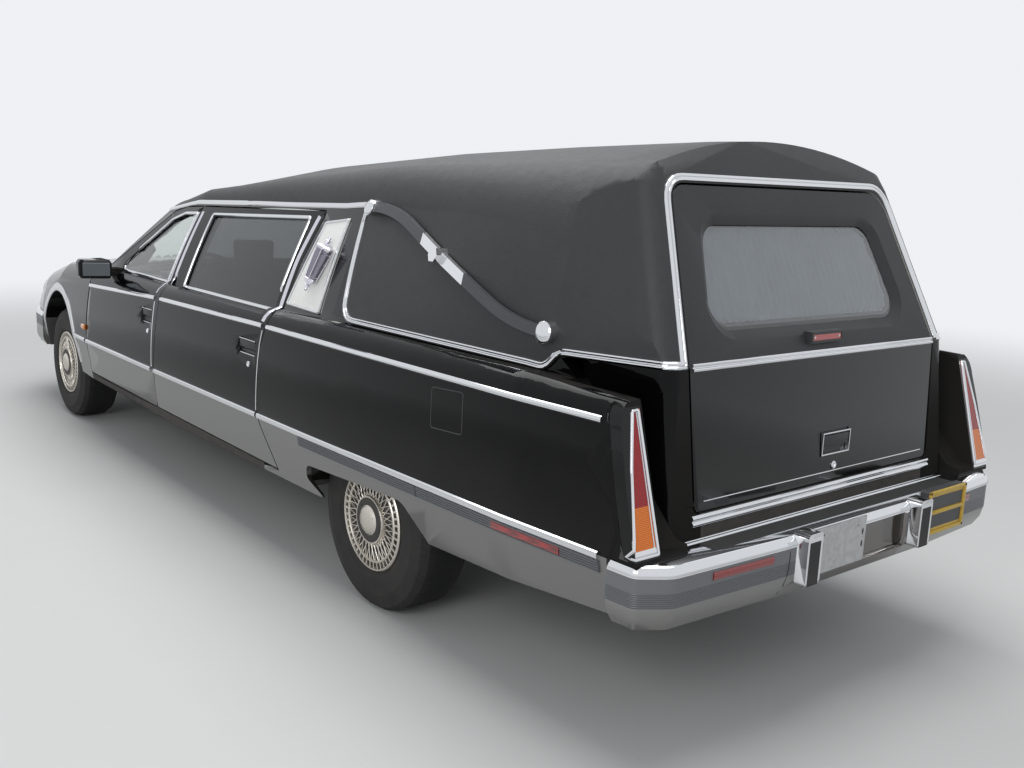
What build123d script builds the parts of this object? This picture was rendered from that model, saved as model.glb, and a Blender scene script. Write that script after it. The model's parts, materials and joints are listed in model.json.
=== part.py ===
"""A long-wheelbase hearse with landau roof, built as separate panels, glass, lamps and running gear.

Lengths are millimetres. While it is laid out, x runs forward from the rear axle, y to the left
and z up from the ground. At the end every piece moves back by MIDDLE_X, so that the middle of the
car's length stands at x = 0.
"""
from math import acos, cos, hypot, radians, sin, tan
from functools import lru_cache
import os

from build123d import *

# Overall layout.
WHEELBASE = 3750
REAR_END_X = -1550
FRONT_END_X = 4870
MIDDLE_X = (REAR_END_X + FRONT_END_X) / 2
FRONT_HALF_TRACK = 784
REAR_HALF_TRACK = 771

# Wheels and tyres.
TYRE_RADIUS = 352
BEAD_RADIUS = 200
HUB_HEIGHT = TYRE_RADIUS
COVER_CENTRE_RADIUS = 92
STUB_RADIUS = 20
RUNNING_GAP = 0.05
HUB_BORE_RADIUS = STUB_RADIUS + RUNNING_GAP
KINGPIN_RADIUS = 12
KINGPIN_Y = 700

# Gaps and wall thicknesses.
PANEL_GAP = 7
SEAT_GAP = 0.3
SHELL = 45
DOOR_INNER_Y = 865
LOAD_HALF_WIDTH = 620
ENGINE_BAY_HALF_WIDTH = 700
HOOD_THICKNESS = 40
REAR_DOOR_THICKNESS = 60
JAMB_LEAN = 0.35

# Heights.
FLOOR_TOP = 420
DECK_TOP = 712
UNDERBODY_TOP = 600

# Places along the car.
FENDER_REAR_X = 3037
QUARTER_FRONT_X = 737
FIREWALL_X = 3130
HOOD_REAR_X = 3222
HOOD_FRONT_X = 4620
NOSE_X = 4735
NOSE_RADIUS = 2400
NOSE_INNER_X = HOOD_FRONT_X - 60

# Bumpers: heights, and how far the skin lies inside its plan at each height.
FRONT_BUMPER_REAR_X = 4225
BUMPER_TOP = 632
FRONT_BUMPER_ROWS = [(398, 24), (430, 6), (455, 0), (594, 0), (624, 12)]
REAR_BUMPER_FRONT_X = -1330
REAR_BUMPER_TOP = 640
REAR_BUMPER_BOTTOM = 450
REAR_BUMPER_ROWS = [(REAR_BUMPER_BOTTOM, 30), (486, 8), (522, 0), (612, 0), (REAR_BUMPER_TOP, 14)]
GUARD_Y = 310
GUARD_HALF_WIDTH = 36

# Widest line of the body, on which the side doors hinge.
HINGE_Y = 992

# Lower body, one row per section: x, bottom z, rocker y, strip y, strip z, belt y, belt z,
# crest y, crest z, centre top z.
LOWER_SECTIONS = [
    (-1440, 470, 900, 940, 625, 925, 985, 890, 1060, 1065),
    (-900, 430, 935, 972, 628, 952, 1000, 905, 1076, 1072),
    (300, 385, 955, 990, 625, 962, 990, 905, 1070, 1068),
    (1900, 365, 958, 992, 612, 965, 970, 905, 1045, 1050),
    (3040, 372, 952, 988, 602, 955, 935, 885, 1042, 1078),
    (3750, 385, 925, 958, 600, 925, 890, 840, 1000, 1048),
    (4250, 400, 870, 905, 600, 875, 790, 815, 892, 995),
    (4560, 420, 800, 840, 600, 820, 725, 770, 822, 938),
    (4780, 440, 690, 740, 600, 725, 690, 690, 768, 895),
]
SIDE_BULGE = 8
SHOULDER_BULGE = 12
HOOD_BULGE = 6

# Roof and glasshouse, one row per section: x, base y, rail y, rail z, shoulder y, shoulder z,
# centre top z. The base stands at UPPER_BASE_Z.
UPPER_BASE_Z = 990
UPPER_SECTIONS = [
    (3400, 905, 640, 1390, 560, 1420, 1450),
    (2350, 907, 684, 1424, 592, 1462, 1497),
    (2000, 907, 691, 1456, 602, 1524, 1586),
    (1200, 905, 696, 1483, 606, 1602, 1688),
    (300, 895, 704, 1518, 606, 1668, 1747),
    (-300, 850, 725, 1505, 600, 1690, 1772),
    (-900, 800, 737, 1485, 590, 1706, 1790),
    (-1450, 712, 672, 1470, 560, 1700, 1790),
]
PANEL_BULGE = 10
ROOF_EDGE_BULGE = 27

# Windscreen: a sheet bent round a cylinder that leans back.
SCREEN_BASE = (3170, 1060)
SCREEN_SLOPE = radians(30.5)
SCREEN_BEND_RADIUS = 2900
SCREEN_SHELL = 36
GLASS_THICKNESS = 5
GLASS_INSET = 10
GLASS_LIP = 12
REAR_GLASS_INSET = 24

# Rear end of the box: its profile in x and z, and its rounded corners as x, y and z.
REAR_PROFILE = [(-1376, 600), (-1312, 1133), (-1095, 1649), (-1035, 1792)]
REAR_CORNERS = [(-1412, 738, 300), (-1312, 738, 1133), (-1095, 632, 1649), (-1035, 562, 1792)]
REAR_CORNER_RADIUS = 70
VALLEY_INNER_Y = 738
VALLEY_OUTER_Y = 845


def edges_round(points, place):
    """Edges of a closed outline of (u, v) or (u, v, corner radius) points, set out by place."""
    corners = []
    for i, point in enumerate(points):
        u, v = point[0], point[1]
        radius = point[2] if len(point) > 2 else 0
        if not radius:
            corners.append([(u, v)])
            continue
        before, after = points[i - 1], points[(i + 1) % len(points)]
        back = hypot(before[0] - u, before[1] - v)
        on = hypot(after[0] - u, after[1] - v)
        a = ((before[0] - u) / back, (before[1] - v) / back)
        b = ((after[0] - u) / on, (after[1] - v) / on)
        half = acos(max(-1, min(1, a[0] * b[0] + a[1] * b[1]))) / 2
        cut = radius / tan(half)
        long = hypot(a[0] + b[0], a[1] + b[1])
        reach = radius / sin(half) - radius
        corners.append([
            (u + a[0] * cut, v + a[1] * cut),
            (u + (a[0] + b[0]) / long * reach, v + (a[1] + b[1]) / long * reach),
            (u + b[0] * cut, v + b[1] * cut),
        ])
    edges = []
    for i, corner in enumerate(corners):
        if len(corner) == 3:
            edges.append(ThreePointArc(*[place(*p) for p in corner]))
        start, end = corner[-1], corners[(i + 1) % len(corners)][0]
        if hypot(end[0] - start[0], end[1] - start[1]) > 0.01:
            edges.append(Line(place(*start), place(*end)))
    return edges


def face_round(points, place):
    return Face(Wire(edges_round(points, place)))


def along_y(points, y_start, y_end, lean=0.0):
    """Prism of an (x, z) outline; with a lean, x falls by lean for each millimetre outward."""
    face = face_round(points, lambda x, z: (x, y_start, z))
    length = y_end - y_start
    return extrude(face, amount=abs(length) * hypot(1, lean), dir=(-lean * length, length, 0))


def along_x(points, x_start, x_end, lean=0.0):
    """Prism of a (y, z) outline; with a lean, y grows by lean for each millimetre forward."""
    face = face_round(points, lambda y, z: (x_start, y, z))
    length = x_end - x_start
    return extrude(face, amount=abs(length) * hypot(1, lean), dir=(length, lean * length, 0))


def along_z(points, z_start, z_end):
    face = face_round(points, lambda x, y: (x, y, z_start))
    return extrude(face, amount=z_end - z_start, dir=(0, 0, 1))


def block(x_start, x_end, y_start, y_end, z_start, z_end):
    size = (x_end - x_start, y_end - y_start, z_end - z_start)
    middle = ((x_start + x_end) / 2, (y_start + y_end) / 2, (z_start + z_end) / 2)
    return Pos(*middle) * Box(*size)


def rod(start, end, radius):
    """Round bar between two points."""
    start, end = Vector(*start), Vector(*end)
    line = end - start
    return Plane(origin=start, z_dir=line) * Cylinder(
        radius, line.length, align=(Align.CENTER, Align.CENTER, Align.MIN))


def turned(profile, centre):
    """Solid turned about an axle: profile rows are (radius, distance outward, corner radius)."""
    x, y, z = centre
    face = face_round(profile, lambda r, d: (x, y + d, z + r))
    return revolve(face, Axis((x, y, z), (0, 1, 0)), 360)


def main_solids(shape, least):
    """The shape without chips smaller than least, in cubic millimetres."""
    return Part() + [solid for solid in shape.solids() if solid.volume > least]


def mirrored(shape):
    return mirror(shape, about=Plane.XZ)


def whole(half):
    """A left half and its mirror image."""
    return half + mirrored(half)


def grown(points, distance):
    """The outline moved outward by distance, corner radii with it."""
    area = sum(p[0] * points[(i + 1) % len(points)][1] - points[(i + 1) % len(points)][0] * p[1]
               for i, p in enumerate(points))
    side = 1 if area > 0 else -1
    result = []
    for i, point in enumerate(points):
        before, after = points[i - 1], points[(i + 1) % len(points)]
        lines = []
        for start, end in ((before, point), (point, after)):
            along = (end[0] - start[0], end[1] - start[1])
            size = hypot(*along)
            out = (along[1] / size * side, -along[0] / size * side)
            lines.append((start[0] + out[0] * distance, start[1] + out[1] * distance,
                          along[0], along[1]))
        (x1, y1, a1, b1), (x2, y2, a2, b2) = lines
        cross = a1 * b2 - b1 * a2
        if abs(cross) < 1e-6:
            moved = (x2, y2)
        else:
            t = ((x2 - x1) * b2 - (y2 - y1) * a2) / cross
            moved = (x1 + a1 * t, y1 + b1 * t)
        radius = point[2] if len(point) > 2 else 0
        turn = cross * side
        if radius:
            radius = max(0.5, radius + (distance if turn > 0 else -distance))
        result.append((*moved, radius))
    return result


def banded(line, width):
    """Closed outline of a band of one width that follows an open (x, z, corner radius) line."""
    sides = []
    for out in (width / 2, -width / 2):
        side = []
        for i, (x, z, radius) in enumerate(line):
            before = line[i - 1] if i else line[0]
            after = line[i + 1] if i + 1 < len(line) else line[-1]
            turns = []
            for start, end in ((before, line[i]), (line[i], after)):
                size = hypot(end[0] - start[0], end[1] - start[1])
                if size:
                    turns.append(((end[0] - start[0]) / size, (end[1] - start[1]) / size))
            a, b = turns[0], turns[-1]
            normal = (-(a[1] + b[1]) / 2, (a[0] + b[0]) / 2)
            scale = out / (normal[0] ** 2 + normal[1] ** 2)
            bend = a[0] * b[1] - a[1] * b[0]
            if radius:
                radius = radius - out if bend > 0 else radius + out
            side.append((x + normal[0] * scale, z + normal[1] * scale, radius))
        sides.append(side)
    return sides[0] + sides[1][::-1]


def stacked(plan, rows):
    """Solid on a plan whose skin lies inside it by an inset at each height: rows of (z, inset)."""
    wires = [Wire(edges_round(grown(plan, -inset), lambda x, y, z=z: (x, y, z)))
             for z, inset in rows]
    return Part() + Solid.make_loft(wires, ruled=True)


def bulged(start, end, bulge):
    """Middle of an arc from start to end that stands bulge beyond the chord, away from the car."""
    along = (end[0] - start[0], end[1] - start[1])
    size = hypot(*along)
    out = (along[1] / size, -along[0] / size)
    return ((start[0] + end[0]) / 2 + out[0] * bulge, (start[1] + end[1]) / 2 + out[1] * bulge)


def section_wire(x, half, bulges):
    """Closed left half of a section at x: bottom centre, outward, up and back to top centre."""
    edges = []
    for start, end, bulge in zip(half, half[1:], bulges):
        a, b = (x, *start), (x, *end)
        if bulge:
            middle = bulged(start, end, bulge)
            edges.append(ThreePointArc(a, (x, *middle), b))
        else:
            edges.append(Line(a, b))
    edges.append(Line((x, *half[-1]), (x, *half[0])))
    return Wire(edges)


def lower_loft():
    wires = []
    for x, bottom, rocker, strip, strip_z, belt, belt_z, crest, crest_z, top in LOWER_SECTIONS:
        half = [(0, bottom), (rocker, bottom), (strip, strip_z), (belt, belt_z),
                (crest, crest_z), (0, top)]
        wires.append(section_wire(x, half, [0, 0, SIDE_BULGE, SHOULDER_BULGE, HOOD_BULGE]))
    return Part() + Solid.make_loft(wires, ruled=True)


@lru_cache(maxsize=None)
def upper_loft(inset=0):
    wires = []
    for x, base, rail, rail_z, shoulder, shoulder_z, top in UPPER_SECTIONS:
        half = [(0, UPPER_BASE_Z), (base - inset, UPPER_BASE_Z),
                (rail - inset, rail_z - 0.5 * inset),
                (shoulder - 0.8 * inset, shoulder_z - 0.9 * inset), (0, top - inset)]
        wires.append(section_wire(x, half, [
            0, PANEL_BULGE, ROOF_EDGE_BULGE if x < 2300 else 9, (top - shoulder_z) / 4]))
    return Part() + Solid.make_loft(wires, ruled=True)


def screen_cylinder(inset=0):
    """Everything behind the bent windscreen sheet, less an inset."""
    out = (sin(SCREEN_SLOPE), cos(SCREEN_SLOPE))
    back = (-cos(SCREEN_SLOPE), sin(SCREEN_SLOPE))
    origin = (SCREEN_BASE[0] - out[0] * SCREEN_BEND_RADIUS, 0,
              SCREEN_BASE[1] - out[1] * SCREEN_BEND_RADIUS)
    frame = Plane(origin=origin, x_dir=(0, 1, 0), z_dir=(back[0], 0, back[1]))
    return frame * Cylinder(SCREEN_BEND_RADIUS - inset, 12000)


def screen_prism(points, depth=400):
    """Prism square to the windscreen; its outline is (y, distance up the slope)."""
    out = (sin(SCREEN_SLOPE), cos(SCREEN_SLOPE))
    back = (-cos(SCREEN_SLOPE), sin(SCREEN_SLOPE))

    def place(y, up):
        return (SCREEN_BASE[0] + back[0] * up - out[0] * depth / 2, y,
                SCREEN_BASE[1] + back[1] * up - out[1] * depth / 2)

    return extrude(face_round(points, place), amount=depth, dir=(out[0], 0, out[1]))


def rear_limit(forward=0):
    """Everything ahead of the box's rear face, moved forward by a wall's thickness."""
    points = [(x + forward, z) for x, z in REAR_PROFILE]
    points[0] = (points[0][0] - 12, 300)
    return along_y(points + [(-900 + forward, 2100), (6000, 2100), (6000, 300)], -1300, 1300)


def rear_corner_limit():
    """Left half of everything ahead of the rear face, with the upright corner rounded."""
    wires = []
    for x, y, z in REAR_CORNERS:
        plan = [(x, -10), (x, y, REAR_CORNER_RADIUS), (x + 500, y + 120), (x + 520, 1100),
                (900, 1100), (900, -10)]
        wires.append(Wire(edges_round(plan, lambda u, v, z=z: (u, v, z))))
    return Part() + Solid.make_loft(wires, ruled=True)


def rear_x(z):
    """x of the box's rear face at a height."""
    for (x1, z1), (x2, z2) in zip(REAR_PROFILE, REAR_PROFILE[1:]):
        if z <= z2:
            return x1 + (x2 - x1) * (z - z1) / (z2 - z1)
    return REAR_PROFILE[-1][0]


def rear_cut(points, grow=0.0, lean=JAMB_LEAN, x_start=-1460, x_end=-880):
    """Prism through the rear door for a (y, z) outline measured on its outer face."""
    laid = [(p[0] - lean * (rear_x(p[1]) - x_start), *p[1:]) for p in grown(points, grow)]
    return along_x(laid, x_start, x_end, lean)


def rear_wire(points, out):
    """A (y, z) outline laid on the upper rear face and moved out from it."""
    (x1, z1), (x2, z2) = REAR_PROFILE[1:3]
    size = hypot(x2 - x1, z2 - z1)
    back, up = (z2 - z1) / size, (x2 - x1) / size
    return Wire(edges_round(points, lambda y, z: (rear_x(z) - out * back, y, z + out * up)))


def skin_y(z):
    """Half-width of the side at a height, as the door outlines see it."""
    if z < 1000:
        return HINGE_Y
    if z < 1045:
        return HINGE_Y - (HINGE_Y - 898) * (z - 1000) / 45
    return 898 - (898 - 690) * (z - 1045) / (1456 - 1045)


def side_outline(points):
    """Door outline laid on the hinge plane so that it meets the leaning side where it should."""
    return [(p[0] - JAMB_LEAN * (HINGE_Y - skin_y(p[1])), *p[1:]) for p in points]


def side_cut(points, grow=0.0):
    """Prism through a side door, square at its hinged edge and leaning at the others."""
    outline = grown(side_outline(points), grow)
    outer, inner = HINGE_Y + 40, 640
    shifted = [(p[0] - JAMB_LEAN * (outer - HINGE_Y), *p[1:]) for p in outline]
    face = face_round(shifted, lambda x, z: (x, outer, z))
    depth = outer - inner
    prism = extrude(face, amount=depth * hypot(1, JAMB_LEAN), dir=(JAMB_LEAN, -1, 0))
    prism = prism - block(500, 3400, inner - 1, DOOR_INNER_Y - 20, 300, 1046)
    front = max(p[0] for p in points) + grow
    return prism - block(front, front + 400, inner - 1, outer + 1, 300, 1600)


pieces = {}

# Bodywork of the left half, in three lengths, still without any split between panels.
nose = Pos(NOSE_X - NOSE_RADIUS, 0, 0) * Cylinder(NOSE_RADIUS, 4000)
lower = lower_loft()
rear_length = block(-2000, QUARTER_FRONT_X, 0, 1400, 0, 2200)
door_length = block(QUARTER_FRONT_X, FENDER_REAR_X, 0, 1400, 0, 2200)
front_length = block(FENDER_REAR_X, 5000, 0, 1400, 0, 2200)
lower_rear, lower_middle = lower & rear_length, lower & door_length
lower_front = (lower & front_length) & nose
upper = upper_loft() & screen_cylinder()
upper_room = upper_loft(SHELL) & screen_cylinder(SCREEN_SHELL)
box_top = (upper & rear_length) & rear_limit()
box_room = (upper_room & rear_length) & rear_limit(REAR_DOOR_THICKNESS)

# Rear length: fins outboard of a valley, the box's foot inboard of it, and the load space.
FIN_REAR = [(-1432, 300), (-1430, 650), (-1322, 1040), (-1298, 1110, 30), (1000, 1110), (1000, 300)]
VALLEY = [(-900, 1130), (-990, 1062, 60), (-1385, 668, 40), (-1500, 668), (-1500, 1130)]
foot_zone = block(-1500, -900, 0, VALLEY_INNER_Y, 0, 1200)
foot = (lower_rear & foot_zone) & rear_limit()
fins = (lower_rear - foot_zone) & along_y(FIN_REAR, 0, 1300)
shelf = along_x([(900, 1100), (900, 1071), (600, 1050), (600, 1100)], -1500, 380)
corner = rear_corner_limit()
rear = (fins - shelf) + (foot & corner) + (box_top & corner)
rear = rear - along_y(VALLEY, VALLEY_INNER_Y, VALLEY_OUTER_Y)
load_room = block(-1450, 800, 0, LOAD_HALF_WIDTH, DECK_TOP, 1100) & rear_limit(REAR_DOOR_THICKNESS)
rear = rear - box_room - load_room - block(-1330, 720, 0, 600, 300, UNDERBODY_TOP)
REAR_HOUSE_RADIUS = 400
REAR_ARCH = [(345, 440, 20), (345, 498, 36), (60, 512, 60), (-330, 530, 90), (-470, 420, 20),
             (-540, 330), (150, 330), (245, 398, 40)]
rear = rear - Pos(0, 772, HUB_HEIGHT) * Rot(90, 0, 0) * Cylinder(REAR_HOUSE_RADIUS, 346)
rear = rear - along_y(REAR_ARCH, 880, 1100) - block(-400, 400, 599, 945, 300, HUB_HEIGHT)

# Door length: cabin.
upper_middle, upper_front = upper & door_length, upper & front_length
middle = lower_middle + upper_middle
middle = middle - block(762, FENDER_REAR_X, 0, DOOR_INNER_Y, FLOOR_TOP, 1000)
middle = middle - block(700, 790, 0, LOAD_HALF_WIDTH, DECK_TOP, 1100)
middle = middle - (upper_room - rear_length)

# Front length: fender, hood, nose and engine bay.
FRONT_HOUSE_RADIUS = 468
wheel_hole = Pos(WHEELBASE - 15, 760, HUB_HEIGHT) * Rot(90, 0, 0) * Cylinder(
    FRONT_HOUSE_RADIUS, 620)
under_hood = Pos(0, 0, -HOOD_THICKNESS) * lower_front
front = (lower_front + upper_front) - block(
    FENDER_REAR_X - 5, FIREWALL_X, 0, DOOR_INNER_Y, FLOOR_TOP, 1000)
front = front - upper_room
bay = block(FIREWALL_X + 35, NOSE_INNER_X, 0, ENGINE_BAY_HALF_WIDTH, 300, 1200)
front = front - (bay & under_hood) - (bay & block(3000, 5000, 0, 1400, 300, 850)) - wheel_hole

# Side doors, each with a window and a pocket for its handle.
FRONT_DOOR = [(3030, 415, 30), (3030, 1035, 12), (2905, 1046), (2330, 1392, 90), (2180, 1424, 60),
              (1957, 1436, 10), (1957, 415, 10)]
SIDE_DOOR = [(1950, 415, 10), (1950, 1436, 10), (660, 1474, 12), (712, 1270, 160), (724, 1046),
             (744, 900), (744, 600, 160), (600, 415)]
FRONT_WINDOW = [(2800, 1036, 40), (2300, 1345, 90), (2150, 1386, 40), (1992, 1394, 12),
                (1992, 1036, 12)]
SIDE_WINDOW = [(1775, 1036, 12), (1775, 1398, 12), (772, 1436, 14), (800, 1036, 12)]
FRONT_POCKET = [(1978, 837, 22), (2126, 837, 22), (2126, 917, 22), (1978, 917, 22)]
SIDE_POCKET = [(778, 856, 22), (950, 856, 22), (950, 928, 22), (778, 928, 22)]
POCKET_FLOOR_Y = 963
glass_shell = upper_loft(GLASS_INSET) - upper_loft(GLASS_INSET + GLASS_THICKNESS)
cut, clear = side_cut(FRONT_DOOR), side_cut(FRONT_DOOR, PANEL_GAP)
glass = glass_shell & along_y(grown(FRONT_WINDOW, GLASS_LIP), 600, 1000)
front_door = (middle & cut) - along_y(FRONT_POCKET, POCKET_FLOOR_Y, 1100)
pieces["front_door_left"] = front_door - along_y(FRONT_WINDOW, 600, 1100) - glass
pieces["front_door_glass_left"] = glass
middle = middle - clear
cut, clear = side_cut(SIDE_DOOR), side_cut(SIDE_DOOR, PANEL_GAP)
glass = glass_shell & along_y(grown(SIDE_WINDOW, GLASS_LIP), 600, 1000)
side_door = (middle & cut) + (rear & cut) - along_y(SIDE_POCKET, POCKET_FLOOR_Y, 1100)
pieces["side_door_left"] = side_door - along_y(SIDE_WINDOW, 600, 1100) - glass
pieces["side_door_glass_left"] = glass
middle = middle - clear
rear = rear - clear

# Rear door: a sunk window, a handle pocket, and one pane for both halves.
REAR_DOOR = [(-622, 716, 20), (622, 716, 20), (650, 1133), (548, 1640, 80), (-548, 1640, 80),
             (-650, 1133)]
REAR_WINDOW = [(-500, 1229, 70), (500, 1229, 70), (432, 1524, 70), (-432, 1524, 70)]
REAR_BEVEL = 36
rear_pocket = block(-1400, -1332, -138, 22, 796, 879)
behind = rear_limit() - rear_limit(REAR_DOOR_THICKNESS + 2)
rear_whole = whole(rear)
pane = (rear_limit(REAR_GLASS_INSET) - rear_limit(REAR_GLASS_INSET + GLASS_THICKNESS)) & rear_cut(
    REAR_WINDOW, GLASS_LIP, 0)
recess = Part() + Solid.make_loft([
    rear_wire(grown(REAR_WINDOW, REAR_BEVEL + 6), 4),
    rear_wire(grown(REAR_WINDOW, -2), -REAR_GLASS_INSET)], ruled=True)
rear_door = rear_whole & (rear_cut(REAR_DOOR) & behind)
pieces["rear_door"] = rear_door - rear_cut(REAR_WINDOW, 0, 0) - pane - recess - rear_pocket
pieces["rear_door_glass"] = pane
rear_whole = rear_whole - (rear_cut(REAR_DOOR, PANEL_GAP) & behind)

# Hood, over a ledge that is left all round its opening.
HOOD = [(HOOD_REAR_X, -770, 20), (HOOD_REAR_X, 770, 20), (4200, 716), (HOOD_FRONT_X, 560, 60),
        (HOOD_FRONT_X, -560, 60), (4200, -716)]
pieces["hood"] = whole((lower_front - under_hood) & along_z(HOOD, 780, 1200))
ledge = Pos(0, 0, -HOOD_THICKNESS - PANEL_GAP) * lower_front
front = front - (along_z(grown(HOOD, PANEL_GAP), 700, 1200) - ledge)
buffer = rod((HOOD_FRONT_X - 26, 420, 700), (HOOD_FRONT_X - 26, 420, 1000), 15)
front = front + (buffer & (Pos(0, 0, -HOOD_THICKNESS - SEAT_GAP) * lower_front))

# Windscreen and its opening.
SCREEN_OPENING = [(-800, 25, 60), (800, 25, 60), (585, 760, 60), (-585, 760, 60)]
sheet = screen_cylinder(GLASS_INSET) - screen_cylinder(GLASS_INSET + GLASS_THICKNESS)
sheet = sheet & screen_prism(grown(SCREEN_OPENING, GLASS_LIP))
half_sheet = sheet & upper_loft(2)
opening = screen_prism(SCREEN_OPENING)
middle = middle - opening - half_sheet
front = front - opening - half_sheet
pieces["windscreen"] = whole(half_sheet)

# Front bumper, which also takes the lowest part of the nose.
TIP_HALF_WIDTH = 60
BUMPER_PLAN = [(4100, 925), (4480, 893, 300), (4730, 770, 160), (4845, 420, 700),
               (FRONT_END_X, TIP_HALF_WIDTH)]
plan = BUMPER_PLAN + [(p[0], -p[1], *p[2:]) for p in BUMPER_PLAN[::-1]]
hollow = [(p[0] - 70 if p[0] > 4600 else p[0] - 30, p[1] * 0.925, *p[2:]) for p in plan]
bumper_length = block(FRONT_BUMPER_REAR_X, 5000, -1200, 1200, 300, 700)
front_bumper = (stacked(plan, FRONT_BUMPER_ROWS) & bumper_length) - along_z(hollow, 300, 700)
pieces["front_bumper"] = front_bumper
front = front - block(FRONT_BUMPER_REAR_X - 6, 5000, -5, 1200, 300, BUMPER_TOP)

# Grille: an upright frame with vertical bars ahead of a plate.
GRILLE_BACK_X, GRILLE_FACE_X, GRILLE_FRONT_X = NOSE_X - 30, NOSE_X - 8, NOSE_X + 42
GRILLE_HALF_WIDTH, GRILLE_BOTTOM, GRILLE_TOP = 330, 640, 872
GRILLE_EDGE = 26
GRILLE_BAR_COUNT = 17
BAR_FRONT_X = GRILLE_FRONT_X - 8
grille_frame = block(GRILLE_FACE_X, GRILLE_FRONT_X, -GRILLE_HALF_WIDTH, GRILLE_HALF_WIDTH,
                     GRILLE_BOTTOM, GRILLE_TOP)
grille_frame = grille_frame - block(
    GRILLE_FACE_X - 2, GRILLE_FRONT_X + 8, GRILLE_EDGE - GRILLE_HALF_WIDTH,
    GRILLE_HALF_WIDTH - GRILLE_EDGE, GRILLE_BOTTOM + 18, GRILLE_TOP - 34)
grille = grille_frame + block(GRILLE_BACK_X, GRILLE_FACE_X, -GRILLE_HALF_WIDTH, GRILLE_HALF_WIDTH,
                              GRILLE_BOTTOM, GRILLE_TOP)
for i in range(GRILLE_BAR_COUNT):
    y = (GRILLE_HALF_WIDTH - GRILLE_EDGE) * (2 * (i + 1) / (GRILLE_BAR_COUNT + 1) - 1)
    grille = grille + block(
        GRILLE_FACE_X - 1, BAR_FRONT_X, y - 4, y + 4, GRILLE_BOTTOM + 10, GRILLE_TOP - 30)
pieces["grille"] = grille
front = front - block(
    GRILLE_BACK_X, 4900, -GRILLE_HALF_WIDTH, GRILLE_HALF_WIDTH, GRILLE_BOTTOM, GRILLE_TOP)

# Headlamps take their shape from the nose.
lamp_zone = block(NOSE_X - 230, NOSE_X + 50, 352, 900, 655, 790)
pieces["headlamps"] = whole(front & lamp_zone)
front = front - lamp_zone

# Tail lamps take theirs from the fins.
TAIL_LAMP = [(849, 652), (962, 652), (948, 1049), (853, 1049)]
TAIL_LAMP_DEPTH = 42
fin_inside = along_y([(x + TAIL_LAMP_DEPTH, z) for x, z in ((-1430, 500), (-1430, 650), (-1322, 1040))]
                     + [(-1240, 1300), (0, 1300), (0, 500)], 500, 1300)
tail = rear & (along_x(TAIL_LAMP, -1500, -1200) - fin_inside)
pieces["tail_lamps"] = whole(tail)
rear_whole = rear_whole - whole(tail)

# Rear bumper with its two guards and the recess for a plate.
REAR_PLAN = [(-1250, 956), (-1425, 942, 40), (-1486, 850, 80), (-1510, 400, 900)]
plan = REAR_PLAN + [(p[0], -p[1], *p[2:]) for p in REAR_PLAN[::-1]]
hollow = [(p[0] + 75 if p[0] < -1400 else p[0] + 50, p[1] * 0.93) for p in plan]
bumper = stacked(plan, REAR_BUMPER_ROWS) & block(-1600, REAR_BUMPER_FRONT_X, -1200, 1200, 300, 700)
bumper = bumper - along_z(hollow, REAR_BUMPER_BOTTOM - 5, REAR_BUMPER_TOP - 25)
bumper = bumper - block(-1600, -1485, -262, 262, 492, 612)
for side in (1, -1):
    inner, outer = side * GUARD_Y - GUARD_HALF_WIDTH, side * GUARD_Y + GUARD_HALF_WIDTH
    bumper = bumper + along_x([(inner, 492, 10), (outer, 492, 10), (outer, 654, 14),
                               (inner, 654, 14)], REAR_END_X, -1494)
pieces["rear_bumper"] = bumper
rear_whole = rear_whole - block(
    -1600, REAR_BUMPER_FRONT_X + 6, -1200, 1200, 300, REAR_BUMPER_TOP)

# What is left splits into roof, quarters, fenders, nose, floor and cowl.
MOULDING_LINE = [(QUARTER_FRONT_X + 5, 1046), (300, 1062), (180, 1078), (-857, 1068),
                 (-930, 1118, 20), (-1500, 1138), (-1500, 2200), (QUARTER_FRONT_X + 5, 2200)]
top_zone = along_y(MOULDING_LINE, -1300, 1300)
quarter_zone = block(-1600, QUARTER_FRONT_X, 600, 1200, 300, 1300)
rear_top = rear_whole & top_zone
rear_low = rear_whole - top_zone
pieces["quarter_panel_left"] = rear_low & quarter_zone
rear_floor = rear_low - quarter_zone - mirrored(quarter_zone)
middle_top = middle - lower_middle
middle_low = middle & lower_middle
POST_X = (1962, 2035)
POST_DEPTH = 34
lower_post = block(*POST_X, 806, 850, FLOOR_TOP, 1000)
post_zone = block(*POST_X, 500, 900, 990, 1520)
inner_face = upper_loft(SHELL + POST_DEPTH) & post_zone
upper_post = (upper_loft(SHELL + 8) & post_zone) - inner_face
root = (upper_loft(SHELL - 6) & block(*POST_X, 500, 900, 1446, 1520)) - inner_face
middle_top = middle_top + (lower_post + upper_post + root)
pieces["roof_shell"] = main_solids(rear_top + whole(middle_top), 1e6)
fender_zone = block(FENDER_REAR_X, 4900, ENGINE_BAY_HALF_WIDTH, 1200, 300, 1300)
nose_zone = block(NOSE_INNER_X - 60, 4900, 0, ENGINE_BAY_HALF_WIDTH, 300, 1300)
nose_zone = nose_zone + block(4150, 4900, 0, ENGINE_BAY_HALF_WIDTH, 740, 1300)
pieces["fender_left"] = main_solids(front & fender_zone, 1e5)
pieces["nose_panel"] = main_solids(whole(front & nose_zone), 1e5)
cowl = (front - fender_zone - nose_zone) + middle_low
pieces["floor_and_cowl"] = main_solids(whole(cowl) + rear_floor, 1e6)

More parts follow.
